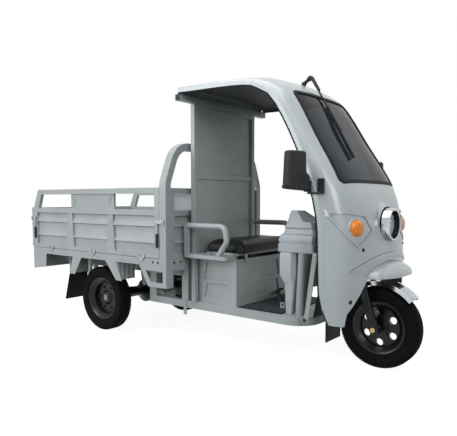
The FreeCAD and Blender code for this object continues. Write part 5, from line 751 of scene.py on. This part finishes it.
class TricycleWheels(bpy.types.Operator):
    """Mould the tyres with their tread and enamel the wheels"""
    bl_idname = "tricycle.wheels"
    bl_label = "Wheels"

    def execute(self, context):
        sizes = context.scene.tricycle_sizes
        for node in ("front_rim", "rear_rim_right", "rear_rim_left"):
            dress(node, "black_enamel", RIM_EDGE)
        for node in ("front_tyre", "rear_tyre_right", "rear_tyre_left"):
            self.tyre(node, sizes)
        for node, side in (("rear_rim_right", -1), ("rear_rim_left", 1)):
            self.sticker(node, side)
        return {"FINISHED"}

    def sticker(self, node, side):
        """A blank pale sticker on the flat end of a rear hub."""
        low, high = corners(node)
        centre = (low + high) / 2
        hub = [vert.co.y * side for vert in frame["nodes"][node].data.vertices
               if math.hypot(vert.co.x - centre.x, vert.co.z - centre.z) < HUB_REACH]
        end = max(hub) * side
        bm = bmesh.new()
        size = Matrix.Diagonal((STICKER[0], STICKER[2], STICKER[1], 1.0))
        bmesh.ops.create_cube(bm, size=1.0, matrix=Matrix.Translation((centre.x, end, centre.z)) @ size)
        upright = [edge for edge in bm.edges
                   if abs(edge.verts[0].co.y - edge.verts[1].co.y) > STICKER[2] / 2]
        bmesh.ops.bevel(bm, geom=upright, offset=STICKER_CORNER, segments=4, affect="EDGES", profile=0.5,
                        material=-1)
        piece = object_from(bm, node + "_sticker", smooth=40.0, outward=True)
        wear(piece, "sticker_vinyl", body_of(node))

    def tyre(self, node, sizes):
        """A hollow tyre with two raised lines on each side wall and rows of tread blocks on its crown."""
        low, high = corners(node)
        centre = (low + high) / 2
        radius = (high.x - low.x) / 2
        half = (high.y - low.y) / 2
        bead = radius * 0.625
        crown = radius - sizes.tread_depth
        wall = 12 * MM
        ridge = 1.5 * MM
        # From the bead up one side wall to the middle of the crown
        profile = [(bead, half * 0.62), (bead + wall, half * 0.8), (radius * 0.735, half * 0.92),
                   (radius * 0.742, half * 0.93 + ridge), (radius * 0.752, half * 0.94),
                   (radius * 0.79, half * 0.985), (radius * 0.85, half - ridge), (radius * 0.86, half),
                   (radius * 0.875, half - ridge), (radius * 0.92, half * 0.955),
                   (radius * 0.955, half * 0.86), (crown, half * 0.62), (crown, 0.0)]
        outer = profile + [(r, -y) for r, y in reversed(profile[:-1])]
        inner = [(bead, -half * 0.3), (bead + 2 * wall, -half * 0.62), (radius - 2 * wall, -half * 0.6),
                 (radius - 2 * wall, half * 0.6), (bead + 2 * wall, half * 0.62), (bead, half * 0.3)]
        bm = bmesh.new()
        place = Matrix.Translation(centre) @ facing((0, 1, 0))
        lathe(bm, outer + inner + [outer[0]], place, steps=96)
        pitch = math.tau / sizes.tread_pitches
        length = pitch * radius
        for turn in range(sizes.tread_pitches):
            for side, drop, phase, width, lean, skew in TREAD_ROWS:
                block = (place @ Matrix.Rotation((turn + phase) * pitch, 4, "Z")
                         @ Matrix.Translation((crown - drop * radius, 0, side * half))
                         @ Matrix.Rotation(math.radians(lean), 4, "Y")
                         @ Matrix.Rotation(math.radians(skew), 4, "X"))
                size = Matrix.Diagonal((2 * sizes.tread_depth, length * TREAD_FILL, half * width, 1.0))
                bmesh.ops.create_cube(bm, size=1.0, matrix=block @ size)
        piece = object_from(bm, node + "_moulded", smooth=40.0, outward=True)
        round_edges(piece, BLOCK_EDGE, segments=1)
        wear(piece, "vulcanised_rubber", body_of(node), [node])


class TricycleSeat(bpy.types.Operator):
    """Fill the seat cushion under its vinyl cover and sew on its welt"""
    bl_idname = "tricycle.seat"
    bl_label = "Seat"

    def execute(self, context):
        node = "seat_cushion"
        low, high = corners(node)
        cover = object_from(merged_copy(node, flat=False), "seat_cushion_cover", smooth=180.0)
        self.fill(context, cover, low, high)
        wear(cover, "vinyl_leathercloth", body_of(node), [node])
        self.welt(cover, low.lerp(high, WELT_HEIGHT_SHARE).z)
        return {"FINISHED"}

    def fill(self, context, cover, low, high):
        """Blow the cover out a little, held where it is stapled to the pan."""
        swell = context.scene.tricycle_sizes.cushion_swell
        remesh = cover.modifiers.new("skin", "REMESH")
        remesh.mode = "VOXEL"
        remesh.voxel_size = COVER_CELL
        cover.data = bpy.data.meshes.new_from_object(cover.evaluated_get(context.evaluated_depsgraph_get()))
        cover.modifiers.clear()
        rest = [vert.co.copy() for vert in cover.data.vertices]
        staples = cover.vertex_groups.new(name="staples")
        held = [index for index, spot in enumerate(rest) if spot.z < low.z + COVER_CELL * 2]
        staples.add(held, 1.0, "REPLACE")
        cloth = cover.modifiers.new("cover", "CLOTH")
        cloth.settings.vertex_group_mass = "staples"
        cloth.settings.use_pressure = True
        cloth.settings.uniform_pressure_force = COVER_PRESSURE
        cloth.settings.effector_weights.gravity = 0.0
        cloth.point_cache.frame_end = FILL_FRAMES
        for step in range(1, FILL_FRAMES + 1):
            context.scene.frame_set(step)
        filled = cover.evaluated_get(context.evaluated_depsgraph_get()).data
        for index, vert in enumerate(filled.vertices):
            move = vert.co - rest[index]
            if move.length > swell:
                move.length = swell
            rest[index] += move
        cover.modifiers.clear()
        context.scene.frame_set(1)
        for vert, spot in zip(cover.data.vertices, rest):
            vert.co = spot
        smooth = cover.modifiers.new("smooth", "SUBSURF")
        smooth.levels = 1
        smooth.render_levels = 1

    def welt(self, cover, level):
        """Piping sewn round the cushion where its top joins its side."""
        bm = bmesh.new()
        bm.from_mesh(cover.data)
        cut = bmesh.ops.bisect_plane(bm, geom=bm.verts[:] + bm.edges[:] + bm.faces[:], plane_co=(0, 0, level),
                                     plane_no=(0, 0, 1), clear_inner=True, clear_outer=True)
        verts = [item.co.copy() for item in cut["geom_cut"] if isinstance(item, bmesh.types.BMVert)]
        bm.free()
        heart = sum(verts, Vector()) / len(verts)
        loop = sorted(verts, key=lambda spot: math.atan2(spot.y - heart.y, spot.x - heart.x))
        line = bpy.data.curves.new("welt_line", "CURVE")
        line.dimensions = "3D"
        line.bevel_depth = WELT_RADIUS
        line.bevel_resolution = 2
        spline = line.splines.new("POLY")
        spline.points.add(len(loop) - 1)
        for point, spot in zip(spline.points, loop):
            point.co = (*spot, 1.0)
        spline.use_cyclic_u = True
        drawn = bpy.data.objects.new("welt_line", line)
        bpy.context.collection.objects.link(drawn)
        mesh = bpy.data.meshes.new_from_object(drawn.evaluated_get(bpy.context.evaluated_depsgraph_get()))
        bpy.data.objects.remove(drawn)
        tube = bmesh.new()
        tube.from_mesh(mesh)
        piece = object_from(tube, "seat_cushion_welt", smooth=180.0, outward=True)
        wear(piece, "vinyl_leathercloth", body_of("seat_cushion"))


class TricycleMat(bpy.types.Operator):
    """Lay the rubber mat with its slanted bars on the cab floor"""
    bl_idname = "tricycle.mat"
    bl_label = "Floor Mat"

    def execute(self, context):
        pitch = context.scene.tricycle_sizes.mat_rib_pitch
        low, high = corners("floor_mat")
        dress("floor_mat", "epdm_rubber", MAT_EDGE)
        bm = bmesh.new()
        centre = (low + high) / 2
        reach = (high - low).length
        slant = Matrix.Rotation(MAT_SLANT, 4, "Z")
        count = int(reach / pitch)
        for step in range(-count, count + 1):
            shift = Matrix.Translation((0, step * pitch, 0))
            place = Matrix.Translation((centre.x, centre.y, high.z)) @ slant @ shift
            bar = place @ Matrix.Diagonal((2 * reach, MAT_BAR[0], 2 * MAT_BAR[1], 1.0))
            bmesh.ops.create_cube(bm, size=1.0, matrix=bar)
        border = MAT_BAR[0] * 2
        for axis, side in ((0, -1), (0, 1), (1, -1), (1, 1)):
            normal = Vector((0, 0, 0))
            normal[axis] = side
            limit = high - Vector((border, border, 0)) if side > 0 else low + Vector((border, border, 0))
            cut_away(bm, limit, normal)
        piece = object_from(bm, "floor_mat_bars", smooth=30.0, outward=True)
        wear(piece, "worn_epdm_rubber", body_of("floor_mat"))
        return {"FINISHED"}


class TricycleStage(bpy.types.Operator):
    """Set the floor, the soft light and the camera"""
    bl_idname = "tricycle.stage"
    bl_label = "Stage"

    def execute(self, context):
        backdrop = tuple(context.scene.tricycle_colours.backdrop) + (1.0,)
        self.floor(backdrop)
        self.sky(context.scene, backdrop)
        self.softboxes(context)
        self.camera(context)
        context.scene.view_settings.view_transform = "Standard"
        return {"FINISHED"}

    def floor(self, backdrop):
        """Matt paper that keeps a soft shadow, lit up to white for the eye."""
        bm = bmesh.new()
        bmesh.ops.create_grid(bm, x_segments=2, y_segments=2, size=FLOOR_REACH)
        floor = object_from(bm, "studio_floor")
        paper = bpy.data.materials.new("matt_white_paper")
        paper.use_nodes = True
        tree = paper.node_tree
        shader = tree.nodes["Principled BSDF"]
        shader.inputs["Base Color"].default_value = (FLOOR_GREY, FLOOR_GREY, FLOOR_GREY, 1.0)
        shader.inputs["Roughness"].default_value = 0.9
        shader.inputs["Specular IOR Level"].default_value = 0.0
        lift = add_node(tree, "ShaderNodeMath", {"operation": "MULTIPLY"})
        lift.inputs[1].default_value = FLOOR_LIFT
        tree.links.new(self.seen(tree), lift.inputs[0])
        glow = add_node(tree, "ShaderNodeEmission", {"Color": backdrop}, {"Strength": lift.outputs["Value"]})
        both = add_node(tree, "ShaderNodeAddShader")
        tree.links.new(shader.outputs["BSDF"], both.inputs[0])
        tree.links.new(glow.outputs["Emission"], both.inputs[1])
        tree.links.new(both.outputs["Shader"], tree.nodes["Material Output"].inputs["Surface"])
        floor.data.materials.append(paper)

    def softboxes(self, context):
        """Square lamps aimed at the tricycle."""
        for name, spot, aim, power, size in SOFTBOXES:
            lamp = bpy.data.lights.new(name, "AREA")
            lamp.energy = power
            lamp.size = size
            holder = bpy.data.objects.new(name, lamp)
            holder.location = spot
            holder.rotation_euler = (Vector(aim) - Vector(spot)).to_track_quat("-Z", "Y").to_euler()
            context.collection.objects.link(holder)

    def camera(self, context):
        """The view of the photograph, from ahead on the right."""
        lens = bpy.data.cameras.new("front_quarter_view")
        lens.lens = context.scene.tricycle_sizes.lens_length
        lens.sensor_width = SENSOR_WIDTH
        lens.shift_y = CAMERA_SHIFT
        camera = bpy.data.objects.new("front_quarter_view", lens)
        camera.location = CAMERA_SPOT
        camera.rotation_euler = CAMERA_TURN
        context.collection.objects.link(camera)
        context.scene.camera = camera

    def seen(self, tree):
        """One where a ray comes from the eye, a mirror or glass, and none where it only lights."""
        path = add_node(tree, "ShaderNodeLightPath")
        total = path.outputs["Is Camera Ray"]
        for kind in ("Is Glossy Ray", "Is Transmission Ray"):
            larger = add_node(tree, "ShaderNodeMath", {"operation": "MAXIMUM"})
            tree.links.new(total, larger.inputs[0])
            tree.links.new(path.outputs[kind], larger.inputs[1])
            total = larger.outputs["Value"]
        return total

    def sky(self, scene, backdrop):
        """White to the eye and in reflections, softer as a light."""
        world = bpy.data.worlds.new("studio_sky")
        scene.world = world
        world.use_nodes = True
        tree = world.node_tree
        tree.nodes.clear()
        strength = add_node(tree, "ShaderNodeMapRange", {"To Min": SKY_LIGHT, "To Max": 1.0},
                            {"Value": self.seen(tree)})
        background = add_node(tree, "ShaderNodeBackground", {"Color": backdrop},
                              {"Strength": strength.outputs["Result"]})
        add_node(tree, "ShaderNodeOutputWorld", None, {"Surface": background.outputs["Background"]})


class TricyclePanel(bpy.types.Panel):
    """Sidebar list of the tricycle's pieces"""
    bl_idname = "VIEW3D_PT_tricycle"
    bl_label = "Cargo Tricycle"
    bl_space_type = "VIEW_3D"
    bl_region_type = "UI"
    bl_category = "Tricycle"

    def draw(self, context):
        for operator in OPERATORS:
            self.layout.operator(operator.bl_idname)
        for group in (context.scene.tricycle_sizes, context.scene.tricycle_colours):
            for name in group.__annotations__:
                self.layout.prop(group, name)


OPERATORS = (TricycleFinishes, TricycleSteelwork, TricycleBolts, TricycleHardware, TricycleCab, TricycleLamps,
             TricycleWheels, TricycleSeat, TricycleMat, TricycleStage)
CLASSES = (TricycleSizes, TricycleColours) + OPERATORS + (TricyclePanel,)


def register():
    for entry in CLASSES:
        bpy.utils.register_class(entry)
    bpy.types.Scene.tricycle_sizes = PointerProperty(type=TricycleSizes)
    bpy.types.Scene.tricycle_colours = PointerProperty(type=TricycleColours)


def unregister():
    del bpy.types.Scene.tricycle_colours
    del bpy.types.Scene.tricycle_sizes
    for entry in reversed(CLASSES):
        bpy.utils.unregister_class(entry)


def main():
    """Register the add-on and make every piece."""
    register()
    for operator in OPERATORS:
        group, name = operator.bl_idname.split(".")
        getattr(getattr(bpy.ops, group), name)()


if __name__ == "__main__":
    main()
